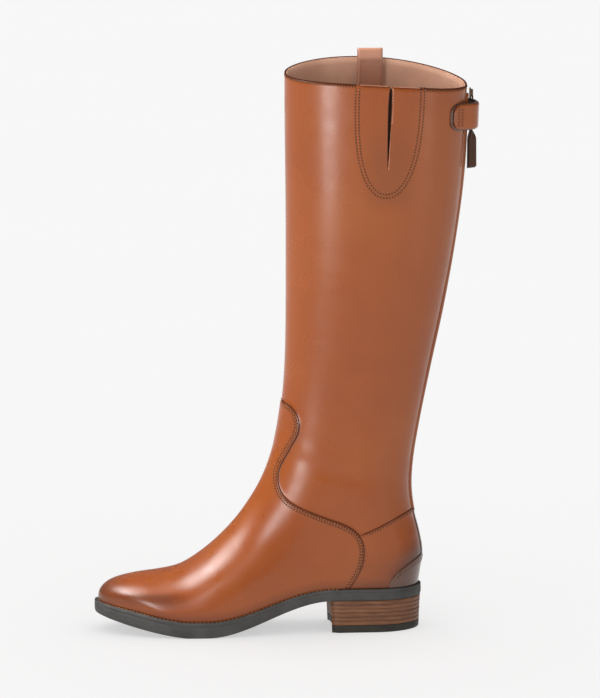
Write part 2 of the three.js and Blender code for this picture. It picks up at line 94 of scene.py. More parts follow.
SLIT_SHAPE = [  # depth below the collar, half-width of the slit there
    (-5, SLIT["mouth"]), (0, SLIT["mouth"]), (6, 1.25), (SLIT["widest"], SLIT["half"]),
    (30, 1.4), (44, 1.05), (58, 0.6), (SLIT["depth"], 0.05),
]
CREASES = [  # x, z, tilt, width, depth of the shallow troughs where the ankle bends
    (22, 142, 0.35, 7, 0.45), (38, 158, 0.25, 9, 0.35), (60, 132, 0.15, 8, 0.3),
]

# Edge of the vamp where it laps over the shaft and the heel quarter: x, z on the side view.
VAMP_LINE = [
    (-2.2, 193.0), (4.5, 189.5), (8.8, 183.7), (10.7, 176.0), (9.3, 167.3), (2.2, 153.2),
    (-5.1, 138.3), (-6.6, 130.7), (-6.0, 123.3), (-3.2, 117.0), (1.7, 111.8), (9.7, 107.2),
    (32.6, 97.6), (46.0, 92.6), (54.5, 88.0), (60.3, 82.2), (63.6, 75.0), (64.1, 66.3),
    (62.7, 57.4), (58.7, 48.3), (54.2, 41.0), (50.0, 33.0),
]
# Upper edge of the heel quarter, from the vamp to the back seam.
QUARTER_LINE = [(60.5, 82.4), (74.5, 88.2), (88.8, 94.6), (100.0, 98.8), (107.5, 100.5)]


# ---------------- numbers

def smooth(value, low, high):
    t = np.clip((value - low) / (high - low), 0, 1)
    return t * t * (3 - 2 * t)


def lerp(a, b, t):
    return a + (b - a) * t


def read_table(table, value, column=1):
    """Smooth reading of a table whose first column rises."""
    rows = np.array(table, float)
    key, data = rows[:, 0], rows[:, column]
    last = len(key) - 1
    value = np.clip(value, key[0], key[-1])
    i = np.clip(np.searchsorted(key, value, side="right") - 1, 0, last - 1)
    before, after = np.maximum(i - 1, 0), np.minimum(i + 2, last)
    step = key[i + 1] - key[i]
    slope_in = (data[i + 1] - data[before]) / (key[i + 1] - key[before])
    slope_out = (data[after] - data[i]) / (key[after] - key[i])
    t = (value - key[i]) / step
    return ((2 * t**3 - 3 * t**2 + 1) * data[i] + (t**3 - 2 * t**2 + t) * step * slope_in
            + (3 * t**2 - 2 * t**3) * data[i + 1] + (t**3 - t**2) * step * slope_out)


def through(points, samples):
    """Centripetal Catmull-Rom curve through a list of points."""
    p = np.array(points, float)
    p = np.vstack([2 * p[0] - p[1], p, 2 * p[-1] - p[-2]])
    gap = np.maximum(np.sum(np.diff(p, axis=0) ** 2, axis=1) ** 0.25, 1e-4)
    spans = len(points) - 1
    place = np.linspace(0, spans, samples + 1)
    i = np.minimum(place.astype(int), spans - 1)
    w = (place - i)[:, None]
    d0, d1, d2 = gap[i][:, None], gap[i + 1][:, None], gap[i + 2][:, None]
    a, b, c, d = p[i], p[i + 1], p[i + 2], p[i + 3]
    t1 = ((b - a) / d0 - (c - a) / (d0 + d1) + (c - b) / d1) * d1
    t2 = ((c - b) / d1 - (d - b) / (d1 + d2) + (d - c) / d2) * d1
    return (b + t1 * w + (-3 * b + 3 * c - 2 * t1 - t2) * w**2
            + (2 * b - 2 * c + t1 + t2) * w**3)


def runs(points):
    return np.concatenate([[0], np.cumsum(np.linalg.norm(np.diff(points, axis=0), axis=1))])


class Profile:
    """A side profile as short segments, with its running length and rounding distance."""

    def __init__(self, table, samples=90):
        curve = through(table, samples)
        self.xz, self.round = curve[:, [0, 2]], curve[:, 1]
        self.run = runs(self.xz)

    def at_run(self, run):
        return np.interp(run, self.run, self.xz[:, 0]), np.interp(run, self.run, self.xz[:, 1])

    def run_at_height(self, z):
        return np.interp(z, self.xz[:, 1], self.run)

    def x_at_height(self, z):
        return np.interp(z, self.xz[:, 1], self.xz[:, 0])

    def nearness(self, x, z):
        """How near (x, z) is, as a share of the rounding distance: 0 on the profile."""
        least = np.full(np.shape(x), np.inf)
        for a, b, ra, rb in zip(self.xz, self.xz[1:], self.round, self.round[1:]):
            d = b - a
            t = np.clip(((x - a[0]) * d[0] + (z - a[1]) * d[1]) / d.dot(d), 0, 1)
            distance = np.hypot(x - a[0] - t * d[0], z - a[1] - t * d[1])
            least = np.minimum(least, distance / (ra + (rb - ra) * t))
        return least


front, back = Profile(FRONT), Profile(BACK)


def round_off(share):
    """Width of a quarter-round edge: 0 on the profile, 1 from the rounding distance inwards."""
    return np.sqrt(np.maximum(1 - (1 - np.minimum(share, 1)) ** 2, 0))


# ---------------- the boot's surfaces

def sole_bottom(x):
    """Underside: flat at the ball, curling up at the toe, rising in the arch to the heel seat."""
    forward = np.clip((SOLE["toe_x"] - x) / (SOLE["toe_x"] - SOLE["tip_x"]), 0, None)
    toe = SOLE["spring"] * forward ** SOLE["curve"]
    return toe + SOLE["seat"] * smooth(x, SOLE["arch0"], SOLE["arch1"])


def sole_top(x):
    thick = lerp(SOLE["tip_thick"], SOLE["thick"], smooth(x, SOLE["tip_x"], SOLE["full_x"]))
    return sole_bottom(x) + lerp(thick, SOLE["heel_thick"], smooth(x, SOLE["arch0"], SOLE["arch1"]))


def half_width(x, z, outer):
    """How far the leather stands out at (x, z), on the outer or the inner side."""
    x, z = np.asarray(x, float), np.asarray(z, float)
    foot = np.where(outer, read_table(FOOT, x, 1), read_table(FOOT, x, 2))
    full = lerp(foot, read_table(SHAFT, z), smooth(z, ANKLE["low"], ANKLE["high"]))
    above = np.clip((z - sole_top(x)) / TUCK["height"], 0, 1)
    tuck = 1 - TUCK["share"] * (1 - above) ** 2
    return full * tuck * round_off(front.nearness(x, z)) * round_off(back.nearness(x, z))


ankle_front = front.run_at_height(ANKLE["front_z"])
ankle_back = back.run_at_height(ANKLE["back_z"])


def ring_end(profile, ankle, v):
    """Where the ring v meets a profile; SHARE of the rings lie below the ankle."""
    low = ankle * v / SHARE
    high = lerp(ankle, profile.run[-1], (v - SHARE) / (1 - SHARE))
    return profile.at_run(np.where(v < SHARE, low, high))


def surface(v, phi):
    """Points of the outer face: v from the feather line (0) to the collar (1), phi from the front."""
    v, phi = np.broadcast_arrays(np.asarray(v, float), np.asarray(phi, float))
    fx, fz = ring_end(front, ankle_front, v)
    bx, bz = ring_end(back, ankle_back, v)
    t = (1 - np.cos(phi)) / 2
    x = lerp(fx, bx, t)
    sag = (sole_top(x) - lerp(sole_top(fx), sole_top(bx), t)) * (1 - smooth(v, 0, SHARE))
    turn = np.sin(phi)
    middle, lean = (COLLAR["rise"] - COLLAR["drop"]) / 2, (COLLAR["rise"] + COLLAR["drop"]) / 2
    rise = (middle * turn * turn - lean * turn) * smooth(v, COLLAR["fade"], 1)
    z = lerp(fz, bz, t) + sag + rise
    width = np.where(np.abs(turn) < 1e-9, 0, half_width(x, z, turn > 0))
    return np.stack([x, np.where(turn > 0, -width, width), z], axis=-1)


def unit(vectors):
    return vectors / np.maximum(np.linalg.norm(vectors, axis=-1, keepdims=True), 1e-12)


def surface_normal(v, phi):
    v, phi = np.broadcast_arrays(np.asarray(v, float), np.asarray(phi, float))
    up = surface(np.minimum(v + 0.004, 1), phi) - surface(np.maximum(v - 0.004, 0), phi)
    along = surface(v, phi + 0.02) - surface(v, phi - 0.02)
    normal = np.cross(along, up)
    normal[..., 2] = np.where((v <= 0) | (v >= 1), 0, normal[..., 2])
    return unit(normal)


def skin(v, phi):
    """Points of the outer face and the normals there."""
    return surface(v, phi), surface_normal(v, phi)


def ring_at_height(z, phi):
    """The ring v whose point at the angle phi lies at height z."""
    z, phi = np.broadcast_arrays(np.asarray(z, float), np.asarray(phi, float))
    low, high = np.zeros(z.shape), np.ones(z.shape)
    for _ in range(22):
        mid = (low + high) / 2
        under = surface(mid, phi)[..., 2] < z
        low, high = np.where(under, mid, low), np.where(under, high, mid)
    return (low + high) / 2


def skin_at_height(z, phi):
    return skin(ring_at_height(z, phi), phi)


def side_points(x, z, outer, distance):
    """Points over the outer or inner side at (x, z), moved out along the local normal."""
    x, z = np.asarray(x, float), np.asarray(z, float)
    sign = -1.0 if outer else 1.0
    normal = side_normals(x, z, outer)
    base = np.stack([x, sign * half_width(x, z, outer), z], axis=-1)
    return base + normal * np.asarray(distance)[..., None]


def side_normals(x, z, outer):
    sign = -1.0 if outer else 1.0
    dx = half_width(x + 0.5, z, outer) - half_width(x - 0.5, z, outer)
    dz = half_width(x, z + 0.5, outer) - half_width(x, z - 0.5, outer)
    return unit(np.stack([-dx, np.full(np.shape(x), sign), -dz], axis=-1))


# ---------------- meshes

def mesh(name, verts, faces, material, replaced=(), slot=None):
    data = bpy.data.meshes.new(name)
    points = (np.asarray(verts, float).reshape(-1, 3) - ORIGIN) * MM
    data.from_pydata(points.tolist(), [], faces.tolist() if isinstance(faces, np.ndarray) else faces)
    data.validate()
    piece = bpy.data.objects.new(name, data)
    bpy.context.scene.collection.objects.link(piece)
    data.materials.append(material)
    data.shade_smooth()
    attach(piece, "root")
    if replaced:
        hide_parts(*replaced)
    return piece


def grid_faces(rows, columns, wrap=False, start=0, flip=False):
    """Quads over a grid of points stored row by row."""
    i, j = np.meshgrid(np.arange(rows - 1), np.arange(columns if wrap else columns - 1), indexing="ij")
    k = (j + 1) % columns
    here, above = i * columns, (i + 1) * columns
    quads = np.stack([here + j, here + k, above + k, above + j], axis=-1)
    quads = quads.reshape(-1, 4) + start
    return quads[:, ::-1] if flip else quads


def strip(a, b, closed=False):
    """Quads between two equally long lines of point numbers."""
    a, b = np.asarray(a), np.asarray(b)
    if closed:
        a, b = np.append(a, a[0]), np.append(b, b[0])
    return np.stack([a[:-1], a[1:], b[1:], b[:-1]], axis=-1)


def shell(outside, inside, wrap=False):
    """Closed body between two grids of points of the same width."""
    ro, c = outside.shape[:2]
    ri = inside.shape[0]
    start = ro * c
    o = np.arange(start).reshape(ro, c)
    i = start + np.arange(ri * c).reshape(ri, c)
    faces = [grid_faces(ro, c, wrap), grid_faces(ri, c, wrap, start, flip=True),
             strip(i[0], o[0], wrap), strip(o[-1], i[-1], wrap)]
    if not wrap:
        match = np.linspace(0, ri - 1, ro).round().astype(int)
        faces += [strip(o[:, 0], i[match, 0]), strip(i[match, -1], o[:, -1])]
    return np.vstack([outside.reshape(-1, 3), inside.reshape(-1, 3)]), np.vstack(faces)


def stack_of_loops(loops):
    """Closed body through equal loops of points, its first and last loop filled by a fan."""
    n, c = len(loops), len(loops[0])
    middles = [np.mean(loops[0], axis=0), np.mean(loops[-1], axis=0)]
    verts = np.vstack([np.asarray(loops).reshape(-1, 3), *middles])
    faces = grid_faces(n, c, True).tolist()
    for j in range(c):
        k = (j + 1) % c
        faces.append([k, j, n * c])
        faces.append([(n - 1) * c + j, (n - 1) * c + k, n * c + 1])
    return verts, faces


def outward(piece, merge=False):
    """Turns all faces outwards, and can first merge points that coincide."""
    bm = bmesh.new()
    bm.from_mesh(piece.data)
    if merge:
        bmesh.ops.remove_doubles(bm, verts=bm.verts, dist=2e-6)
        bmesh.ops.dissolve_degenerate(bm, edges=bm.edges, dist=1e-7)
    bmesh.ops.recalc_face_normals(bm, faces=bm.faces)
    bm.to_mesh(piece.data)
    bm.free()
    return piece


# ---------------- materials

class Nodes:
    """Short calls for a material's node tree."""

    def __init__(self, name):
        self.material = bpy.data.materials.new(name)
        self.material.use_nodes = True
        self.tree = self.material.node_tree
        self.shader = self.tree.nodes["Principled BSDF"]
        self.place = self.tree.nodes.new("ShaderNodeTexCoord").outputs["Object"]

    def set(self, **values):
        for key, value in values.items():
            self.shader.inputs[key.replace("_", " ")].default_value = value
        return self

    def link(self, a, b):
        self.tree.links.new(a, b)

    def texture(self, kind, place, **values):
        node = self.tree.nodes.new(kind)
        for key, value in values.items():
            node.inputs[key].default_value = value
        self.link(place, node.inputs["Vector"])
        return node

    def noise(self, scale, detail=3, stretch=(1, 1, 1)):
        place = self.texture("ShaderNodeMapping", self.place, Scale=stretch).outputs["Vector"]
        return self.texture("ShaderNodeTexNoise", place, Scale=scale, Detail=detail).outputs["Fac"]

    def patches(self, scale, detail, low=0.0, high=1.0):
        """Noise whose middle range is spread from low to high."""
        return self.remap(self.noise(scale, detail), 0.3, 0.7, low, high)

    def pebble(self, scale):
        return self.texture("ShaderNodeTexVoronoi", self.place, Scale=scale).outputs["Distance"]

    def wave(self, scale, direction="Z", distortion=0.0):
        node = self.texture("ShaderNodeTexWave", self.place, Scale=scale, Distortion=distortion)
        node.bands_direction = direction
        return node.outputs["Fac"]

    def mask(self, name):
        node = self.tree.nodes.new("ShaderNodeAttribute")
        node.attribute_name = name
        return node.outputs["Fac"]

    def remap(self, value, low, high, to_low=0.0, to_high=1.0):
        node = self.tree.nodes.new("ShaderNodeMapRange")
        for key, number in zip(("From Min", "From Max", "To Min", "To Max"), (low, high, to_low, to_high)):
            node.inputs[key].default_value = number
        self.link(value, node.inputs["Value"])
        return node.outputs["Result"]

    def mix(self, factor, a, b):
        node = self.tree.nodes.new("ShaderNodeMix")
        node.data_type = "RGBA"
        self.link(factor, node.inputs[0])
        for value, socket in ((a, node.inputs[6]), (b, node.inputs[7])):
            if isinstance(value, tuple):
                socket.default_value = (*value, 1)
            else:
                self.link(value, socket)
        return node.outputs[2]

    def color(self, value):
        self.link(value, self.shader.inputs["Base Color"])
        return self

    def rough(self, value):
        self.link(value, self.shader.inputs["Roughness"])
        return self

    def bump(self, *layers):
        """layers: (height socket, strength, depth in mm)"""
        normal = None
        for height, strength, depth in layers:
            node = self.tree.nodes.new("ShaderNodeBump")
            node.inputs["Strength"].default_value = strength
            node.inputs["Distance"].default_value = depth * MM
            self.link(height, node.inputs["Height"])
            if normal:
                self.link(normal, node.inputs["Normal"])
            normal = node.outputs["Normal"]
        self.link(normal, self.shader.inputs["Normal"])
        return self


TAN = (0.292, 0.068, 0.0080)
TAN_DEEP = (0.245, 0.047, 0.0040)
TAN_LIGHT = (0.312, 0.078, 0.0105)
# Dark tone of burnished leather, also used for painted shade.
BURNISH_AND_SHADE_DARK = (0.042, 0.012, 0.007)


def leather(name, base=TAN, deep=TAN_DEEP, light=TAN_LIGHT, burnish_and_shade_dark=BURNISH_AND_SHADE_DARK, rough=0.29, coat=0.15, shine=0.45):
    """Cloudy leather, darkened towards the dark tone where the mesh's burnish_and_shade value is high:
    burnish in places, painted shade in others.
    """
    n = Nodes(name).set(Coat_Weight=coat, Coat_Roughness=0.20, Specular_IOR_Level=shine)
    cloudy = n.mix(n.patches(7, 3), deep, base)
    cloudy = n.mix(n.remap(n.noise(16, 4), 0.45, 0.9), cloudy, light)
    n.color(n.mix(n.mask("burnish_and_shade"), cloudy, burnish_and_shade_dark))
    n.rough(n.patches(60, 4, rough - 0.05, rough + 0.07))
    return n.bump((n.noise(420, 5), 0.08, 0.2), (n.pebble(1500), 0.06, 0.10)).material


def lining_leather(name):
    n = Nodes(name).set(Specular_IOR_Level=0.25)
    n.color(n.mix(n.patches(22, 5), (0.47, 0.25, 0.165), (0.62, 0.36, 0.25)))
    n.rough(n.patches(90, 3, 0.75, 0.9))
    return n.bump((n.noise(900, 5), 0.25, 0.2)).material


def rubber(name, dark, light):
    n = Nodes(name).set(Specular_IOR_Level=0.4)
    n.color(n.mix(n.patches(55, 5), dark, light))
    n.rough(n.patches(130, 4, 0.52, 0.72))
    return n.bump((n.noise(1100, 5), 0.2, 0.15)).material


def stacked(name):
    """Layered heel leather, dark in the grooves between the layers."""
    n = Nodes(name).set(Specular_IOR_Level=0.3, Coat_Weight=0.05, Coat_Roughness=0.3)
    grain = n.noise(18, 6, (1, 1, 16))
    fine = n.noise(60, 5, (1, 1, 9))
    wood = n.mix(n.remap(grain, 0.3, 0.7), (0.105, 0.038, 0.018), (0.200, 0.082, 0.036))
    wood = n.mix(n.remap(fine, 0.5, 0.85), wood, (0.26, 0.125, 0.062))
    n.color(n.mix(n.mask("groove"), wood, (0.090, 0.034, 0.016)))
    n.rough(n.remap(fine, 0.3, 0.7, 0.42, 0.62))
    return n.bump((fine, 0.3, 0.2)).material


def woven(name, dark, light, scale=900):
    n = Nodes(name).set(Specular_IOR_Level=0.25)
    weave = n.wave(scale, "Z", 1.5)
    n.color(n.mix(weave, dark, light))
    n.rough(n.patches(300, 3, 0.75, 0.9))
    return n.bump((weave, 0.4, 0.15)).material


def thread(name, color):
    n = Nodes(name).set(Specular_IOR_Level=0.3)
    n.color(n.mix(n.noise(2500, 3), tuple(0.7 * c for c in color), color))
    n.rough(n.patches(1800, 2, 0.55, 0.75))
    return n.bump((n.wave(2600, "DIAGONAL", 0.5), 0.3, 0.08)).material


def metal(name, color):
    n = Nodes(name).set(Metallic=1.0)
    n.color(n.mix(n.remap(n.noise(120, 4), 0.35, 0.7), color, tuple(0.45 * c for c in color)))
    n.rough(n.patches(240, 4, 0.25, 0.45))
    return n.bump((n.noise(1500, 4), 0.1, 0.05)).material


MAT = dict(
    tan=leather("boot_leather"),
    dark=leather("dark_leather", (0.105, 0.042, 0.024), (0.060, 0.022, 0.012), (0.17, 0.075, 0.045),
                 (0.03, 0.011, 0.006), rough=0.27, coat=0.4),
    pale=leather("loop_leather", (0.58, 0.27, 0.17), (0.50, 0.21, 0.125), (0.64, 0.33, 0.22),
                 (0.20, 0.07, 0.04)),
    pull=leather("pull_leather", (0.065, 0.028, 0.017), (0.040, 0.017, 0.010), (0.10, 0.045, 0.028),
                 (0.02, 0.009, 0.006), rough=0.5, coat=0.0, shine=0.15),
    backing=leather("pull_backing_leather", (0.055, 0.032, 0.023), (0.04, 0.022, 0.016), (0.09, 0.055, 0.04),
                    (0.07, 0.04, 0.03), rough=0.6, coat=0.0),
    lining=lining_leather("lining_leather"),
    rubber=rubber("sole_rubber", (0.036, 0.034, 0.031), (0.062, 0.059, 0.055)),
    lift=rubber("heel_rubber", (0.012, 0.010, 0.007), (0.026, 0.022, 0.015)),
    stack=stacked("stacked_heel"),
    tape=woven("zip_tape", (0.025, 0.011, 0.006), (0.075, 0.035, 0.02)),
    elastic=woven("gore_elastic", (0.012, 0.006, 0.004), (0.04, 0.02, 0.012), 500),
    edge=leather("cut_edge", (0.075, 0.020, 0.009), (0.050, 0.013, 0.006), (0.11, 0.03, 0.013),
                 rough=0.6, coat=0.0, shine=0.12),
    # Dark band under stitch rows: burnished groove and painted shade of the stitch holes.
    channel=leather("stitch_channel", (0.065, 0.018, 0.008), (0.045, 0.012, 0.006), (0.09, 0.025, 0.010),
                    rough=0.6, coat=0.0, shine=0.12),
    thread=thread("tan_thread", (0.46, 0.18, 0.08)),
    dark_thread=thread("brown_thread", (0.16, 0.06, 0.03)),
    metal=metal("aged_brass", (0.26, 0.18, 0.11)),
)


# ---------------- seams on the side view

VAMP = through(VAMP_LINE, 150)
QUARTER = through(QUARTER_LINE, 60)


def line_distance(x, z, line):
    """Distance from (x, z) to a line on the side view."""
    least = np.full(np.shape(x), np.inf)
    for a, b in zip(line, line[1:]):
        d = b - a
        t = np.clip(((x - a[0]) * d[0] + (z - a[1]) * d[1]) / max(d.dot(d), 1e-9), 0, 1)
        least = np.minimum(least, np.hypot(x - a[0] - t * d[0], z - a[1] - t * d[1]))
    return least


def gore_outline(share, inset=0.0):
    """Middle and half-width of the U at a share of its depth below the collar."""
    middle = GORE["x"] + GORE["lean"] * share
    return middle, (GORE["half"] - inset) * np.maximum(1 - share**2.9, 0) ** 0.48


def u_line(inset, top, samples=90):
    """The U of the gore panel, from its front corner round the bottom to the back corner."""
    place = np.linspace(-1, 1, samples)
    share = 1 - place**2
    middle, half = gore_outline(share, inset)
    return np.stack([middle + np.sign(place) * half, top - (GORE["depth"] - inset) * share], axis=-1)


def within(x, z, outline):
    """True where (x, z) lies inside a closed outline."""
    inside = np.zeros(np.shape(x), bool)
    for (ax, az), (bx, bz) in zip(outline, np.roll(outline, -1, axis=0)):
        crosses = (az > z) != (bz > z)
        inside ^= crosses & (x < (bx - ax) * (z - az) / (bz - az + 1e-12) + ax)
    return inside


def dark_edge(inside, strength, reach):
    """Darkening that fades inwards from the edge of a panel; inside is the distance within it."""
    return strength * np.exp(-(np.maximum(inside, 0) / reach) ** 2) * (inside > -0.8)


def panel_height(x, z):
    """Thickness of the leather laid over the shaft panel, and how dark its edge is."""
    round_toe = [(50, -40), (-300, -40), (-300, 193)]
    in_vamp = within(x, z, np.vstack([VAMP, round_toe]))
    in_quarter = within(x, z, np.vstack([QUARTER, [(400, 100.5), (400, -40), (50, -40), VAMP[-1]]]))
    vamp_inside = np.where(in_vamp, 1, -1) * line_distance(x, z, VAMP)
    quarter_inside = np.where(in_quarter & ~in_vamp, 1, -1) * line_distance(x, z, QUARTER)
    vamp = smooth(vamp_inside, -0.9, 0.7)
    quarter = smooth(quarter_inside, -0.9, 0.7) * (1 - vamp)
    height = 0.85 * vamp + 0.55 * quarter
    edge = dark_edge(vamp_inside, 0.40, 3.0) + dark_edge(quarter_inside, 0.30, 2.4) * (vamp_inside < 0)
    return height, np.clip(edge, 0, 1)


def soft_creases(x, z):
    """Shallow troughs where the ankle bends, and the slow unevenness of a standing shaft."""
    trough = np.zeros(np.shape(x))
    for cx, cz, tilt, wide, deep in CREASES:
        across = (z - cz) + tilt * (x - cx)
        trough += deep * np.exp(-(across / wide) ** 2) * np.exp(-((x - cx) / 34) ** 2)
    slow = 0.22 * np.sin(z / 31 + x / 47) * np.sin(x / 29 - z / 83) * smooth(z, 120, 200)
    return slow - trough


def burnish_and_shade_at(x, z, edge):
    """How far the leather is darkened: burnished toe cap, heel and panel edges, darker at the foot of the
    upper, and painted shade in a band under the toe's edge and low on the heel quarter.
    """
    toe = 0.72 * smooth(-x, 124, 158) * (1 - 0.35 * smooth(z, 36, 46))
    # Painted shade: dark band under the edge between the toe's flat top and its steep side.
    shade_under_toe_edge = 0.52 * smooth(z, 37.5, 33) * smooth(z, 20, 31) * smooth(-x, 74, 104)
    low = 0.34 * (1 - smooth(z - sole_top(x), 0.5, 12))
    heel = 0.80 * smooth(x + 0.55 * (62 - z), 84, 116) * (1 - smooth(z, 60, 96))
    # Painted shade: darker low on the heel quarter.
    shade = 0.28 * smooth(x, 35, 80) * (1 - smooth(z, 48, 78))
    return np.clip(np.maximum.reduce([toe, low, heel, shade_under_toe_edge, 0.75 * edge]) + shade, 0, 0.92)


def panel_shade(x, z):
    """Darker tone under the slit, inside the elastic's panel."""
    return 0.20 * smooth(abs(x - GORE["x"]), GORE["half"], 8) * smooth(z, 352, 372) * smooth(z, 440, 400)


# ---------------- upper and lining

def ring_shares(foot, shaft):
    return np.concatenate([np.linspace(0, SHARE, foot, endpoint=False), np.linspace(SHARE, 1, shaft)])


def softened(points, share, passes=24):
    """Evens out a closed grid of points where share is above 0."""
    out = points.copy()
    for _ in range(passes):
        near = (np.roll(out, 1, axis=1) + np.roll(out, -1, axis=1)) / 2
        near[1:-1] = (near[1:-1] + (out[:-2] + out[2:]) / 2) / 2
        out = out + (near - out) * 0.5 * share[..., None]
    return out


def cut_slit(piece):
    """Takes the narrow wedge of the slit out of a piece."""
    top = float(surface(1, math.pi / 2)[2])
    depths, halves = np.array(SLIT_SHAPE).T
    middles = SLIT["x"] + SLIT["lean"] * np.maximum(depths, 0) / SLIT["depth"]
    left = [(m - h, top - d) for m, h, d in zip(middles, halves, depths)]
    right = [(m + h, top - d) for m, h, d in zip(middles, halves, depths)][::-1]
    loop = left + right
    n = len(loop)
    within_boot, outside_boot = -10.0, -60.0
    verts = [(x, y, z) for y in (within_boot, outside_boot) for x, z in loop]
    faces = [tuple(range(n)), tuple(range(2 * n - 1, n - 1, -1))]
    faces += [(i, i + n, (i + 1) % n + n, (i + 1) % n) for i in range(n)]
    data = bpy.data.meshes.new("slit_wedge")
    data.from_pydata(((np.array(verts) - ORIGIN) * MM).tolist(), [], faces)
    wedge = bpy.data.objects.new("slit_wedge", data)
    bpy.context.scene.collection.objects.link(wedge)
    outward(wedge)
    cut = piece.modifiers.new("slit", "BOOLEAN")
    cut.operation, cut.object, cut.solver = "DIFFERENCE", wedge, "EXACT"
    graph = bpy.context.evaluated_depsgraph_get()
    done = bpy.data.meshes.new_from_object(piece.evaluated_get(graph))
    piece.modifiers.remove(cut)
    piece.data = done
    bpy.data.objects.remove(wedge)
    bpy.data.meshes.remove(data)
    done.shade_smooth()


def add_mask(piece, name, values):
    layer = piece.data.attributes.new(name, "FLOAT", "POINT")
    layer.data.foreach_set("value", np.asarray(values, float).ravel())


def leather_layer(name, outside, inside, material, burnish_and_shade, replaced, slot):
    """Closed leather body between two equal grids, darkened alike on both faces by the burnish_and_shade
    mask.
    """
    piece = mesh(name, *shell(outside, inside), material, replaced, slot)
    add_mask(piece, "burnish_and_shade", np.tile(burnish_and_shade.ravel(), 2))
    return outward(piece)


def upper_leather():
    around, foot_rings, shaft_rings = 236, 170, 150
    v = ring_shares(foot_rings, shaft_rings)[:, None]
    phi = (np.arange(around) * 2 * math.pi / around)[None, :]
    base, normal = skin(v, phi)
    x, z = base[..., 0], base[..., 2]
    height, edge = panel_height(x, z)
    relief = height + soft_creases(x, z)
    collar_z = surface(np.ones((1, around)), phi)[..., 2]
    below = collar_z - z
    fold = 0.8 * smooth(below, 0.9, 0.0)
    outside = base + normal * (relief - fold)[..., None]
    outside = softened(outside, smooth(-x, 66, 92) * smooth(v, 0.0, 0.04))
    v_in = ring_shares(34, 30)[:, None]
    inside = surface(v_in, phi) - surface_normal(v_in, phi) * LEATHER
    piece = mesh("upper_leather", *shell(outside, inside, wrap=True), MAT["tan"], ("upper",), "upper_leather")
    # Burnish and painted shade of the outer face, and the dark edge along the collar's top.
    burnish_and_shade_values = burnish_and_shade_at(x, z, edge) + panel_shade(x, z) * (np.sin(phi) > 0)
    burnish_and_shade_values = np.maximum(burnish_and_shade_values, 0.55 * smooth(below, 1.2, 0.2))
    add_mask(piece, "burnish_and_shade", np.concatenate([burnish_and_shade_values.ravel(), np.full(inside.shape[0] * around, 0.1)]))
    cut_slit(piece)
    return piece


def lining():
    around = 120
    v = ring_shares(60, 60)[:, None]
    phi = (np.arange(around) * 2 * math.pi / around)[None, :]
    base, normal = skin(v, phi)
    low = base - normal * 1.3
    low[-1, :, 2] -= 0.5
    deep = base - normal * WALL
    deep[-1, :, 2] -= 0.5
    piece = mesh("lining", *shell(low, deep, wrap=True), MAT["lining"], (), "lining")
    cut_slit(piece)
    return piece


# ---------------- stitches

def along_path(at, run, values):
    """Values read at a running length of a path."""
    return np.array([np.interp(at, run, values[:, c]) for c in range(3)])


def stitch_rows(name, paths, material, pitch=3.1, length=2.1, radius=0.27):
    """One joined mesh of short threads along paths; a path is (points, normals)."""
    verts, faces = [], []
    ring = [(math.cos(a), math.sin(a)) for a in np.arange(5) * 2 * math.pi / 5]
    for points, normals in paths:
        run = runs(points)
        count = int(run[-1] / pitch)
        for k in range(count):
            at = (k + 0.5) * pitch
            a, b = [along_path(at + s, run, points) for s in (-length / 2, length / 2)]
            up = unit(along_path(at, run, normals))
            side = unit(np.cross(up, unit(b - a)))
            start = len(verts)
            for share, size in ((0.0, 0.35), (0.25, 1.0), (0.75, 1.0), (1.0, 0.35)):
                middle = lerp(a, b, share) + up * radius * (0.75 if 0.1 < share < 0.9 else 0.1)
                reach = radius * size
                verts.extend(middle + side * c * reach * 1.15 + up * s * reach for c, s in ring)
            faces.extend(grid_faces(4, 5, True, start).tolist())
            faces.append(tuple(start + i for i in (4, 3, 2, 1, 0)))
            faces.append(tuple(start + 15 + i for i in range(5)))
    return mesh(name, np.array(verts), faces, material, (), "upper_leather")


def ribbons(name, paths, width, low, high, material):
    """One joined mesh of narrow bands with rounded tops along paths of (points, normals)."""
    section = [(-0.5, 0.0), (-0.5, 0.55), (-0.25, 0.95), (0.25, 0.95), (0.5, 0.55), (0.5, 0.0)]
    verts, faces = [], []
    for points, normals in paths:
        along = unit(np.gradient(points, axis=0))
        side = unit(np.cross(normals, along))
        start, n, c = len(verts), len(points), len(section)
        for p, up, across in zip(points, normals, side):
            verts.extend(p + across * width * a + up * lerp(low, high, h) for a, h in section)
        faces.extend(grid_faces(n, c, True, start).tolist())
        faces.append([start + i for i in range(c)][::-1])
        faces.append([start + (n - 1) * c + i for i in range(c)])
    return outward(mesh(name, np.array(verts), faces, material, (), "upper_leather"))


def offset_line(line, distance):
    """A side-view line moved to its left by distance."""
    along = np.gradient(line, axis=0)
    left = unit(np.stack([-along[:, 1], along[:, 0]], axis=-1))
    return line + left * distance


def side_path(line, outer, lift):
    """Path over one side at a height of lift, without the points that lie on a profile."""
    x, z = line[:, 0], line[:, 1]
    keep = np.minimum(front.nearness(x, z), back.nearness(x, z)) > 0.004
    x, z = x[keep], z[keep]
    return side_points(x, z, outer, lift + soft_creases(x, z)), side_normals(x, z, outer)


def rim_path(below, start, end, lift):
    phi = np.linspace(start, end, 220)
    z = surface(np.ones_like(phi), phi)[:, 2] - below
    points, normals = skin_at_height(z, phi)
    return points + normals * (lift + soft_creases(points[:, 0], points[:, 2]))[:, None], normals


def evenly(line, step=1.0):
    """A side-view line resampled at even steps."""
    run = runs(line)
    at = np.linspace(0, run[-1], max(int(run[-1] / step), 4))
    return np.stack([np.interp(at, run, line[:, 0]), np.interp(at, run, line[:, 1])], axis=-1)


def above_sole(line, clear=0.8):
    return line[line[:, 1] > sole_top(line[:, 0]) + clear]


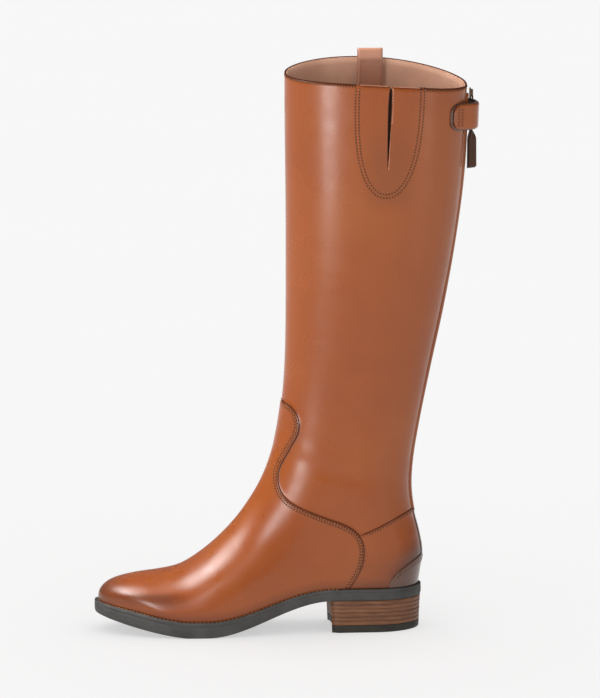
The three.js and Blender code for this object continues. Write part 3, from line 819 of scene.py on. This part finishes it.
def seam_edges():
    """Dark cut edges of the vamp and the quarter, on both sides of the boot."""
    rows = []
    for outer in (True, False):
        rows.append(side_path(above_sole(evenly(VAMP)), outer, 0.0))
        rows.append(side_path(evenly(QUARTER)[2:], outer, -0.25))
    return ribbons("seam_edges", rows, 0.95, -0.2, 0.98, MAT["edge"])


def thread_lines():
    """Every stitch row of the upper with the height of the leather under it."""
    lines = []
    for outer in (True, False):
        for inset in (1.5, 3.4):
            lines.append((above_sole(evenly(offset_line(VAMP, -inset))), outer, 0.83))
        lines.append((evenly(offset_line(QUARTER, -1.9)[6:-2]), outer, 0.52))
    top = float(surface(1, math.pi / 2)[2])
    for inset in (0, 3.0):
        lines.append((evenly(u_line(inset, top - 2.0)), True, 0.0))
    return lines


def collar_angle(x):
    """Angle round the collar, from the front, of a place x on the outer side."""
    return math.acos(1 - 2 * x / COLLAR["depth"])


def rim_lines():
    left, right = collar_angle(GORE["x"] - GORE["half"]), collar_angle(GORE["x"] + GORE["half"])
    return [rim_path(1.7, 0.0, left, 0.0), rim_path(1.7, right, 2 * math.pi, 0.0)]


def upright(points):
    """A path whose normals all point up."""
    return points, np.tile([0.0, 0.0, 1.0], (len(points), 1))


def collar_path(start, end, samples, inset):
    phi = np.linspace(start, end, samples)
    return upright(surface(1, phi) - surface_normal(1, phi) * inset)


def rim_edge():
    """Dark top edge of the collar; across the elastic's panel a pale band instead, a painted highlight on the
    rounded edge.
    """
    left, right = collar_angle(GORE["x"] - GORE["half"]), collar_angle(GORE["x"] + GORE["half"])
    slit = collar_angle(SLIT["x"])
    rows = [collar_path(a, b, int(90 * (b - a)), 0.7) for a, b in ((0.0, left), (right, 2 * math.pi))]
    ribbons("rim_edge", rows, 1.3, -0.2, 0.22, MAT["edge"])
    # Painted highlight: pale leather colour along the collar's rounded top across the elastic's panel.
    spans = ((left + 0.05, slit - 0.03), (slit + 0.03, right - 0.05))
    highlit = [collar_path(a, b, 40, 0.5) for a, b in spans]
    return ribbons("rim_highlight", highlit, 1.2, -0.2, 0.15, MAT["pale"])


def upper_stitching():
    lines = thread_lines()
    channels = [side_path(line, outer, lift) for line, outer, lift in lines] + rim_lines()
    # Dark bands under the threads: burnished groove and painted shade of the stitch holes.
    ribbons("stitch_channels", channels, 1.25, -0.3, 0.12, MAT["channel"])
    return stitch_rows("upper_stitching", channels, MAT["thread"], pitch=2.5, length=1.45, radius=0.27)


# ---------------- sole and heel

def plan_edge(phi, margin):
    """Outline seen from above, standing out from the feather line by margin."""
    here = surface(0, phi)
    along = surface(0, phi + 0.02) - surface(0, phi - 0.02)
    out = unit(np.stack([along[..., 1], -along[..., 0]], axis=-1))
    return here[..., :2] + out * np.asarray(margin)[..., None]


def welt_margin(phi):
    """How far the welt stands out: most at the toe and at the heel."""
    return lerp(SOLE["welt_toe"], SOLE["welt_side"], smooth(np.abs(np.sin(phi)), 0, 0.5))


# Section of the outsole's edge: inset from the outermost line, height share from the bottom.
EDGE = [(1.5, 0.0), (0.7, 0.035), (0.25, 0.12), (0.0, 0.30), (0.0, 0.62), (0.12, 0.70),
        (0.42, 0.735), (0.12, 0.77), (0.0, 0.84), (0.12, 0.93), (0.5, 0.985), (1.1, 1.0)]


def outsole():
    stations, across = 150, 14
    phi = np.linspace(0, math.pi, stations + 1)

    def wall(angles):
        out = []
        for inset, share in EDGE:
            xy = plan_edge(angles, welt_margin(angles) - inset)
            z = lerp(sole_bottom(xy[:, 0]), sole_top(xy[:, 0]), share)
            out.append(np.column_stack([xy, z]))
        return out

    outer = wall(phi)
    inner = wall(2 * math.pi - phi)
    shares = np.linspace(0, 1, across + 1)[1:-1]
    top = []
    for w in shares:
        xy = lerp(outer[-1][:, :2], inner[-1][:, :2], w)
        top.append(np.column_stack([xy, sole_top(xy[:, 0])]))
    bottom = []
    for w in shares[::-1]:
        xy = lerp(outer[0][:, :2], inner[0][:, :2], w)
        x = xy[:, 0]
        ribs = TREAD["depth"] * (1 + np.cos(x * 2 * math.pi / TREAD["pitch"]))
        ribs = ribs * smooth(-x, 10, 20) * smooth(-x, 150, 140) * smooth(abs(w - 0.5), 0.45, 0.38)
        bottom.append(np.column_stack([xy, sole_bottom(x) + ribs]))
    loops = np.stack(outer + top + inner[::-1] + bottom, axis=1)
    faces = grid_faces(loops.shape[0], loops.shape[1], True)
    piece = mesh("outsole_rubber", loops, faces, MAT["rubber"], ("outsole",), "sole_rubber")
    return outward(piece, merge=True)


def welt_stitching():
    """Short light threads standing in the corner between the welt and the upper."""
    rows = []
    for a, b in ((0.06, 2.1), (2 * math.pi - 0.06, 2 * math.pi - 2.1)):
        phi = np.linspace(a, b, 260)
        xy = plan_edge(phi, np.ones_like(phi))
        rows.append(upright(np.column_stack([xy, sole_top(xy[:, 0]) + 0.12])))
    return stitch_rows("welt_stitching", rows, MAT["thread"], pitch=3.4, length=2.2, radius=0.3)


def heel_loop(z, inset, points=44):
    """Outline of the heel at height z: round the back, then across the hollow front face."""
    drop = (SOLE["seat"] - z) / SOLE["seat"]
    breast_x = HEEL["breast"] + HEEL["taper"] * drop
    start = math.acos(1 - 2 * (breast_x - FRONT[0][0]) / (BACK[0][0] - FRONT[0][0]))
    phi = np.linspace(start, 2 * math.pi - start, 2 * points)
    along = lerp(FRONT[0][0], BACK[0][0], (1 - np.cos(phi)) / 2)
    corner = HEEL["corner"] * np.clip(1 - (along - breast_x) / HEEL["corner_run"], 0, 1) ** 2
    xy = plan_edge(phi, welt_margin(phi) - HEEL["inset"] - HEEL["taper"] * drop - inset - corner)
    w = np.linspace(0, 1, 15)[1:-1]
    line = lerp(xy[-1], xy[0], w[:, None])
    line[:, 0] += HEEL["hollow"] * 4 * w * (1 - w) + inset
    flat = np.vstack([xy, line])
    return np.column_stack([flat, np.full(len(flat), z)])


def heel_stack():
    """Layers that are each set in by their own small amount, with a dark groove between them."""
    tall = (SOLE["seat"] - HEEL["lift"]) / len(HEEL_LAYERS)
    section = ((0.02, 0.34, 1.0), (0.22, 0.04, 0.35), (tall / 2, 0.0, 0.0),
               (tall - 0.22, 0.04, 0.35), (tall - 0.02, 0.34, 1.0))
    loops, dark = [], []
    for k, set_in in enumerate(HEEL_LAYERS):
        z = HEEL["lift"] + k * tall
        for dz, inset, groove in section:
            loops.append(heel_loop(z + dz, inset + set_in))
            dark.append(groove)
    verts, faces = stack_of_loops(loops)
    piece = mesh("heel_layers", verts, faces, MAT["stack"], ("heel_stack",), "stacked_leather")
    add_mask(piece, "groove", np.concatenate([np.repeat(dark, len(loops[0])), [0, 0]]))
    return outward(piece)


def heel_lift():
    section = ((0.0, 1.5), (0.12, 0.8), (0.45, 0.25), (1.0, 0.0),
               (3.2, 0.0), (5.7, 0.0), (6.2, 0.1), (6.45, 0.4))
    verts, faces = stack_of_loops([heel_loop(z, inset) for z, inset in section])
    piece = mesh("heel_top_piece", verts, faces, MAT["lift"], ("heel_lift",), "sole_rubber")
    return outward(piece)


# ---------------- overlays at the back

COUNTER_ROWS = (0.12, 0.22)  # the two stitch rows, as shares of the way in from the counter's edge


def counter_ring(swing):
    """Upper edge of the counter, as a share of the upper, from its outer end (-1) to its inner end (1)."""
    rear = float(ring_at_height(COUNTER["top"], math.pi))
    arch = np.maximum(1 - np.abs(swing) ** COUNTER["power"], 0) ** COUNTER["root"]
    return rear * lerp(COUNTER["low_end"], 1, arch)


def heel_counter():
    s = np.linspace(0, 1, 36)[:, None]
    swing = np.linspace(-1, 1, 90)[None, :]
    v = counter_ring(swing) * s
    phi = np.broadcast_to(math.pi + COUNTER["swing"] * swing, v.shape)
    base, normal = skin(v, phi)
    border = np.minimum(1 - s, 0.06) / 0.06 * np.minimum(1 - np.abs(swing), 0.05) / 0.05
    height = COUNTER["rise"] + COUNTER["crown"] * np.sqrt(border)
    groove = sum(0.14 * np.exp(-(((1 - s) - row) / 0.025) ** 2) for row in COUNTER_ROWS)
    outside = base + normal * (height - groove * (np.abs(swing) < 0.93))[..., None]
    inside = base + normal * 0.5
    piece = mesh("heel_counter_leather", *shell(outside, inside), MAT["dark"],
                 ("heel_counter",), "dark_leather")
    dark = 0.75 * (1 - smooth(1 - s + 0 * swing, 0.0, 0.05)) + 0.4 * smooth(s + 0 * swing, 0.35, 0.0)
    add_mask(piece, "burnish_and_shade", np.tile(np.clip(dark, 0, 1).ravel(), 2))
    return piece


def counter_stitching():
    rows = []
    for inset in COUNTER_ROWS:
        swing = np.linspace(-0.96, 0.96, 160)
        v = counter_ring(swing) * (1 - inset)
        phi = math.pi + COUNTER["swing"] * swing * (1 - 0.35 * inset)
        base, normal = skin(v, phi)
        rows.append((base + normal * COUNTER["stitch"], normal))
    return stitch_rows("counter_stitching", rows, MAT["dark_thread"], radius=0.24)


def back_strip(name, low, high, half, inner, outer, material, replaced=(), slot=None, rows=120):
    """Strip up the back seam, lying at inner to outer millimetres off the leather."""
    z = np.linspace(low, high, rows)[:, None]
    swing = np.arcsin(half / read_table(SHAFT, z))
    w = np.linspace(-1, 1, 13)[None, :]
    phi = math.pi + w * swing
    base, normal = skin_at_height(z + 0 * w, phi)
    rounding = np.where(np.abs(w) > 0.99, 0.35, 1.0)
    outside = base + normal * (inner + (outer - inner) * rounding * np.ones_like(z))[..., None]
    return mesh(name, *shell(outside, base + normal * inner), material, replaced, slot)


def zip_flaps():
    """Two folded leather edges that close over the zip."""
    z = np.linspace(ZIP["low"], ZIP["high"], 130)[:, None]
    swing = np.arcsin(ZIP["half"] / read_table(SHAFT, z))
    for name, side in (("zip_flap_outer", -1), ("zip_flap_inner", 1)):
        w = side * np.linspace(1, FLAP["gap"], 9)[None, :]
        phi = math.pi + w * swing
        base, normal = skin_at_height(z + 0 * w, phi)
        from_ridge = np.abs(w) - FLAP["ridge"]
        folded = FLAP["top"] - FLAP["fold"] * (1 - np.sqrt(1 - np.minimum(from_ridge, 0) ** 2 / 0.34))
        falling = FLAP["top"] - FLAP["fall"] * (from_ridge / (1 - FLAP["ridge"])) ** 2
        outside = base + normal * (np.where(from_ridge < 0, folded, falling) + 0 * z)[..., None]
        inside = base + normal * FLAP["inside"]
        burnish_and_shade = 0.55 * smooth(np.abs(w), 0.25, 0.0) + 0 * z
        leather_layer(name, outside, inside, MAT["tan"], burnish_and_shade, ("zip",), "zip_tape")


def zip_teeth():
    """Two meshing rows of small teeth up the closed zip."""
    verts, faces = [], []
    corners = ((-1, -1), (1, -1), (1, 1), (-1, 1))
    box = [(a * size, b * size, c) for size, c in ((1, -1), (0.8, 1)) for a, b in corners]
    quads = [(3, 2, 1, 0), (4, 5, 6, 7), (0, 1, 5, 4), (1, 2, 6, 5), (2, 3, 7, 6), (3, 0, 4, 7)]
    heights = np.arange(ZIP["low"] + 2, ZIP["high"] - 3, ZIP["tooth_pitch"])
    x = back.x_at_height(heights)
    lean = np.gradient(x, heights)
    for k, (z, back_x, slope) in enumerate(zip(heights, x, lean)):
        side = 1 if k % 2 else -1
        up = unit(np.array([slope, 0, 1.0]))
        out = unit(np.array([1.0, 0, -slope]))
        middle = np.array([back_x, 0.55 * side, z]) + out * 1.15
        start = len(verts)
        verts.extend(middle + np.array([0, 0.8 * a, 0]) + up * 0.55 * b + out * 0.4 * c for a, b, c in box)
        faces.extend(tuple(start + i for i in q) for q in quads)
    return outward(mesh("zip_teeth", np.array(verts), faces, MAT["metal"], (), "zip_metal"), merge=True)


def rounded_plate(name, centre, size, axes, material, radius=0.6, bulge=0.0, replaced=(), slot=None):
    """Small plate with rounded edges; size is along axes (thick, wide, tall)."""
    thick, wide, tall = size
    out, side, up = [np.array(a, float) for a in axes]
    loops = []
    corners = 24
    for share in (0.0, 0.12, 0.35, 0.65, 0.88, 1.0):
        shrink = radius * (1 - math.sqrt(max(1 - (2 * abs(share - 0.5)) ** 6, 0)))
        angle = np.arange(corners) * 2 * math.pi / corners
        c, s = np.cos(angle), np.sin(angle)
        squareness = (np.abs(c) ** 4 + np.abs(s) ** 4) ** -0.25
        a = (wide / 2 - shrink) * c * squareness
        b = (tall / 2 - shrink) * s * squareness
        waist = 1 - bulge * (1 - (2 * b / tall) ** 2)
        depth = thick * (share - 0.5)
        loops.append(centre + np.outer(a * waist, side) + np.outer(b, up) + out * depth)
    verts, faces = stack_of_loops(loops)
    piece = mesh(name, verts, faces, material, replaced, slot)
    return outward(piece)


def ring_of_wire(name, centre, wide, tall, wire, axes, material, slot):
    """Oval wire ring in the plane of the last two axes."""
    out, side, up = [np.array(a, float) for a in axes]
    loops = []
    for a in np.arange(32) * 2 * math.pi / 32:
        spoke = side * math.cos(a) * wide / 2 + up * math.sin(a) * tall / 2
        away = unit(side * math.cos(a) / wide + up * math.sin(a) / tall)
        loops.append([centre + spoke + (away * math.cos(b) + out * math.sin(b)) * wire
                      for b in np.arange(8) * 2 * math.pi / 8])
    points = np.array(loops)
    faces = grid_faces(32, 8, True).tolist()
    faces += [[31 * 8 + j, 31 * 8 + (j + 1) % 8, (j + 1) % 8, j] for j in range(8)]
    return outward(mesh(name, points, faces, material, (), slot), merge=True)


def slider():
    """Slider at the top of the zip: waisted body, raised bridge and the ring that holds the pull."""
    z = ZIP["high"] - 0.2
    face = float(back.x_at_height(z)) + 2.0
    axes = ((1, 0, 0), (0, 1, 0), (0, 0, 1))
    places = ((1.1, 0), (2.6, 0.6), (3.1, -4.6))
    body, bridge, ring = [np.array([face + out, 0, z + up]) for out, up in places]
    rounded_plate("slider_body", body, (1.4, 8.0, 10), axes, MAT["metal"], 0.5, 0.2,
                  ("zip_slider",), "zip_metal")
    rounded_plate("slider_bridge", bridge, (1.8, 2.4, 6.4), axes, MAT["metal"], 0.5, 0, (), "zip_metal")
    ring_of_wire("slider_ring", ring, 5.0, 6.4, 0.5, axes, MAT["metal"], "zip_metal")


def pull():
    """Two layers of leather, flat behind the strap and turned sideways below it."""
    inner = float(back.x_at_height(STRAP["z"] + STRAP["half"])) + 2.3
    share, w = np.linspace(0, 1, 60)[:, None], np.linspace(-1, 1, 11)[None, :]
    free = 1 - smooth(share, PULL["twist_to"], PULL["twist_from"])
    turn = PULL["twist"] * free
    middle = inner + PULL["thick"] / 2 + PULL["out"] * free
    layers = (("pull_face", -0.1, 1.4, 1.2, 0.94, "pull"), ("pull_backing", -1.4, -0.2, 0.0, 1.0, "backing"))
    for name, low, deep, shorter, narrower, material in layers:
        across = w * lerp(PULL["half_low"], PULL["half_top"], share) * narrower
        z = lerp(PULL["low"] + shorter, PULL["high"], share) + 0 * w

        def side(off):
            x = middle + off * np.cos(turn) + across * np.sin(turn)
            y = PULL["side"] * free - off * np.sin(turn) + across * np.cos(turn)
            return np.stack([x, y, z], axis=-1)

        burnish_and_shade = 0.5 * (np.abs(w) > 0.9) + 0 * share
        leather_layer(name, side(deep), side(low), MAT[material], burnish_and_shade, ("zip_pull",), "dark_leather")


def strap_layer(name, reach, half, thick, rise, ends, material, replaced=()):
    """Leather band round the back; flat on the shaft at its ends and lifted over the zip."""
    swing = np.linspace(-1, 1, 110)[None, :]
    s = np.linspace(-1, 1, 17)[:, None]
    phi = math.pi + reach * swing + 0 * s
    round_end = np.minimum((1 - np.abs(swing)) / ends, 1)
    tall = half * lerp(STRAP["end_height"], 1, np.sqrt(1 - (1 - round_end) ** 2))
    z = STRAP["z"] + s * tall
    off_zip = smooth(np.abs(swing) * reach / STRAP["bridge"], 0.25, 0.85)
    lift = lerp(rise, STRAP["lift"] + rise - 0.4, 1 - off_zip) + 0 * s
    base, normal = skin_at_height(z, phi)
    border = np.minimum(1 - np.abs(s), 0.12) / 0.12 * np.minimum(1 - np.abs(swing), 0.03) / 0.03
    outside = base + normal * (lift + thick * (0.55 + 0.45 * np.sqrt(np.clip(border, 0, 1))))[..., None]
    inside = base + normal * lift[..., None]
    burnish_and_shade = 0.6 * (1 - smooth(border, 0.0, 0.5))
    return leather_layer(name, outside, inside, MAT[material], burnish_and_shade, replaced, "upper_leather")


def strap_stitching():
    rows = []
    for sign in (-1, 1):
        for at in (0.80, 0.70):
            s = np.linspace(-0.72, 0.72, 40)
            z = STRAP["z"] + s * STRAP["half"]
            phi = np.full(40, math.pi + sign * STRAP["reach"] * at)
            lift = lerp(1.3, STRAP["lift"], 1 - smooth(at, 0.25, 0.85)) + STRAP["thick"]
            base, normal = skin_at_height(z, phi)
            rows.append((base + normal * lift, normal))
    return stitch_rows("strap_stitching", rows, MAT["dark_thread"], pitch=2.6, length=1.7)


# ---------------- gore and pull loop

def gore():
    top = float(surface(1, math.pi / 2)[2]) - 2.5
    s = np.linspace(0, 1, 60)[:, None]
    w = np.linspace(-1, 1, 91)[None, :]
    middle, half = gore_outline(np.minimum(s, 0.985))
    x, z = middle + w * half, top - GORE["depth"] * s + 0 * w
    ribs = 0.22 * np.cos(x * 2 * math.pi / 2.4)
    outside = side_points(x, z, True, -WALL - 0.75 + ribs)
    inside = side_points(x, z, True, np.full(x.shape, -WALL - 1.75))
    return mesh("gore_elastic", *shell(outside, inside), MAT["elastic"], ("gore",), "elastic")


def pull_loop():
    """Folded tab inside the inner side: a flat loop standing above the collar."""
    rim = float(surface(1, 2 * math.pi - collar_angle(LOOP["x"]))[2])
    ends = np.array([-LOOP["half"], LOOP["half"]])
    wall = float(np.min(half_width(LOOP["x"] + ends, rim - LOOP["below"] + 0 * ends, False)))
    y0 = wall - WALL - 0.6 - LOOP["bend"]
    angle = np.linspace(0, math.pi, 17)

    def sheet(radius):
        turn_z = rim + LOOP["above"] - LOOP["bend"]
        arc = [(y0 + radius * math.cos(a), turn_z + radius * math.sin(a)) for a in angle]
        wall_leg = [(y0 + radius, z) for z in np.linspace(rim - LOOP["below"], turn_z, 14)[:-1]]
        free_leg = [(y0 - radius, z) for z in np.linspace(turn_z, rim - LOOP["below"], 14)[1:]]
        line = wall_leg + arc + free_leg
        across = np.linspace(-LOOP["half"], LOOP["half"], 11)
        return np.array([[(LOOP["x"] + dx, y, z) for dx in across] for y, z in line])

    outside, inside = sheet(LOOP["bend"]), sheet(LOOP["bend"] - LOOP["thick"])
    piece = mesh("pull_loop_leather", *shell(outside, inside), MAT["pale"], ("pull_loop",), "upper_leather")
    outward(piece)
    sides = np.abs(piece_column(piece, 0) - (LOOP["x"] - ORIGIN[0])) > LOOP["half"] - 0.3
    # Painted shade on the loop inside the collar; the cut sides are burnished.
    shade_inside_collar = smooth(piece_column(piece, 2), rim + 1, rim - 2)
    add_mask(piece, "burnish_and_shade", np.maximum(0.35 * sides, 0.58 * shade_inside_collar))
    z = np.linspace(rim - LOOP["below"] + 3, rim - 6, 12)
    rows = []
    for dx in (-LOOP["half"] + 2, LOOP["half"] - 2):
        points = np.column_stack([np.full(12, LOOP["x"] + dx), np.full(12, y0 - LOOP["bend"] - 0.05), z])
        rows.append((points, np.tile([0.0, -1.0, 0.0], (12, 1))))
    stitch_rows("loop_stitching", rows, MAT["thread"])
    return piece


def piece_column(piece, axis):
    return np.array([v.co[axis] for v in piece.data.vertices]) / MM


# ---------------- camera, floor and light

def camera():
    distance, height_angle, side_angle = 6.0, math.radians(9.5), math.radians(-4.0)
    aim = Vector((0.0122, 0.0, 0.2358))
    away = Vector((math.sin(side_angle) * math.cos(height_angle),
                   -math.cos(side_angle) * math.cos(height_angle), math.sin(height_angle)))
    data = bpy.data.cameras.new("camera")
    seen_height = 0.5815
    data.sensor_width = 36
    data.lens = 36 * distance / seen_height
    data.clip_end = 50
    eye = bpy.data.objects.new("camera", data)
    eye.location = aim + away * distance
    eye.rotation_euler = (-away).to_track_quat("-Z", "Y").to_euler()
    bpy.context.scene.collection.objects.link(eye)
    bpy.context.scene.camera = eye


def floor():
    data = bpy.data.meshes.new("floor")
    reach = 60.0
    corners = [(x * reach, y * reach, 0) for x, y in ((-1, -1), (1, -1), (1, 1), (-1, 1))]
    data.from_pydata(corners, [], [(0, 1, 2, 3)])
    n = Nodes("studio_paper").set(Specular_IOR_Level=0.0, Roughness=0.95)
    n.color(n.mix(n.noise(3, 2), (0.595, 0.595, 0.595), (0.605, 0.605, 0.605)))
    n.shader.inputs["Emission Color"].default_value = (1.0, 1.0, 1.0, 1)
    n.shader.inputs["Emission Strength"].default_value = 0.525
    data.materials.append(n.material)
    paper = bpy.data.objects.new("floor", data)
    bpy.context.scene.collection.objects.link(paper)
    return paper


def area_light(name, place, target, size, power, all_but, spread=180):
    """Soft light that leaves the paper to the even light of the room."""
    data = bpy.data.lights.new(name, "AREA")
    data.shape = "RECTANGLE"
    data.size, data.size_y = size
    data.energy = power
    data.spread = math.radians(spread)
    lamp = bpy.data.objects.new(name, data)
    lamp.location = place
    lamp.rotation_euler = (Vector(target) - Vector(place)).to_track_quat("-Z", "Y").to_euler()
    lamp.light_linking.receiver_collection = all_but
    bpy.context.scene.collection.objects.link(lamp)


def room_light(even, mirrored, seen):
    """Even light from all round; reflections see less of it, and the camera sees pale paper."""
    world = bpy.data.worlds.new("studio")
    bpy.context.scene.world = world
    world.use_nodes = True
    tree = world.node_tree
    rays = tree.nodes.new("ShaderNodeLightPath")
    level = tree.nodes.new("ShaderNodeMapRange")
    level.inputs["To Min"].default_value = even
    level.inputs["To Max"].default_value = mirrored
    tree.links.new(rays.outputs["Is Glossy Ray"], level.inputs["Value"])
    shown = tree.nodes.new("ShaderNodeMapRange")
    shown.inputs["To Max"].default_value = seen
    tree.links.new(rays.outputs["Is Camera Ray"], shown.inputs["Value"])
    tree.links.new(level.outputs["Result"], shown.inputs["To Min"])
    tree.nodes["Background"].inputs["Color"].default_value = (1, 1, 1, 1)
    tree.links.new(shown.outputs["Result"], tree.nodes["Background"].inputs["Strength"])


def studio(paper):
    room_light(0.68, 0.22, 0.93)
    all_but = bpy.data.collections.new("lit_by_softboxes")
    all_but.objects.link(paper)
    all_but.collection_objects[0].light_linking.link_state = "EXCLUDE"
    area_light("key", (-0.70, -1.10, 0.54), (0.03, -0.02, 0.42), (0.34, 0.72), 8.2, all_but)
    area_light("side", (0.98, -0.93, 0.50), (0.10, -0.02, 0.40), (0.20, 0.7), 0.7, all_but)
    area_light("toe", (-0.90, 0.06, 1.40), (-0.07, 0, 0.06), (1.1, 1.2), 4.2, all_but, 44)
    bpy.context.scene.view_settings.view_transform = "Standard"
    bpy.context.scene.view_settings.look = "None"


# ---------------- the boot

upper_leather()
lining()
seam_edges()
rim_edge()
upper_stitching()
outsole()
welt_stitching()
heel_stack()
heel_lift()
heel_counter()
counter_stitching()
back_strip("zip_tape", ZIP["low"], ZIP["high"], ZIP["half"] * 0.6, 0.3, 0.7,
           MAT["tape"], ("zip",), "zip_tape")
zip_flaps()
back_strip("backstay", STAY["low"], STAY["high"], STAY["half"], 0.45, 1.25,
           MAT["dark"], (), "dark_leather", rows=30)
zip_teeth()
slider()
pull()
strap_layer("back_strap_under", STRAP["reach"], 11.4, 1.0, 0.4, 0.30, "dark")
strap_layer("back_strap_leather", 0.60, 10.6, 1.7, 1.5, 0.24, "tan", ("back_strap",))
strap_stitching()
gore()
pull_loop()
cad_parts["insole"].data.materials.clear()
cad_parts["insole"].data.materials.append(MAT["lining"])
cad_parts["insole"].data.shade_smooth()

camera()
studio(floor())
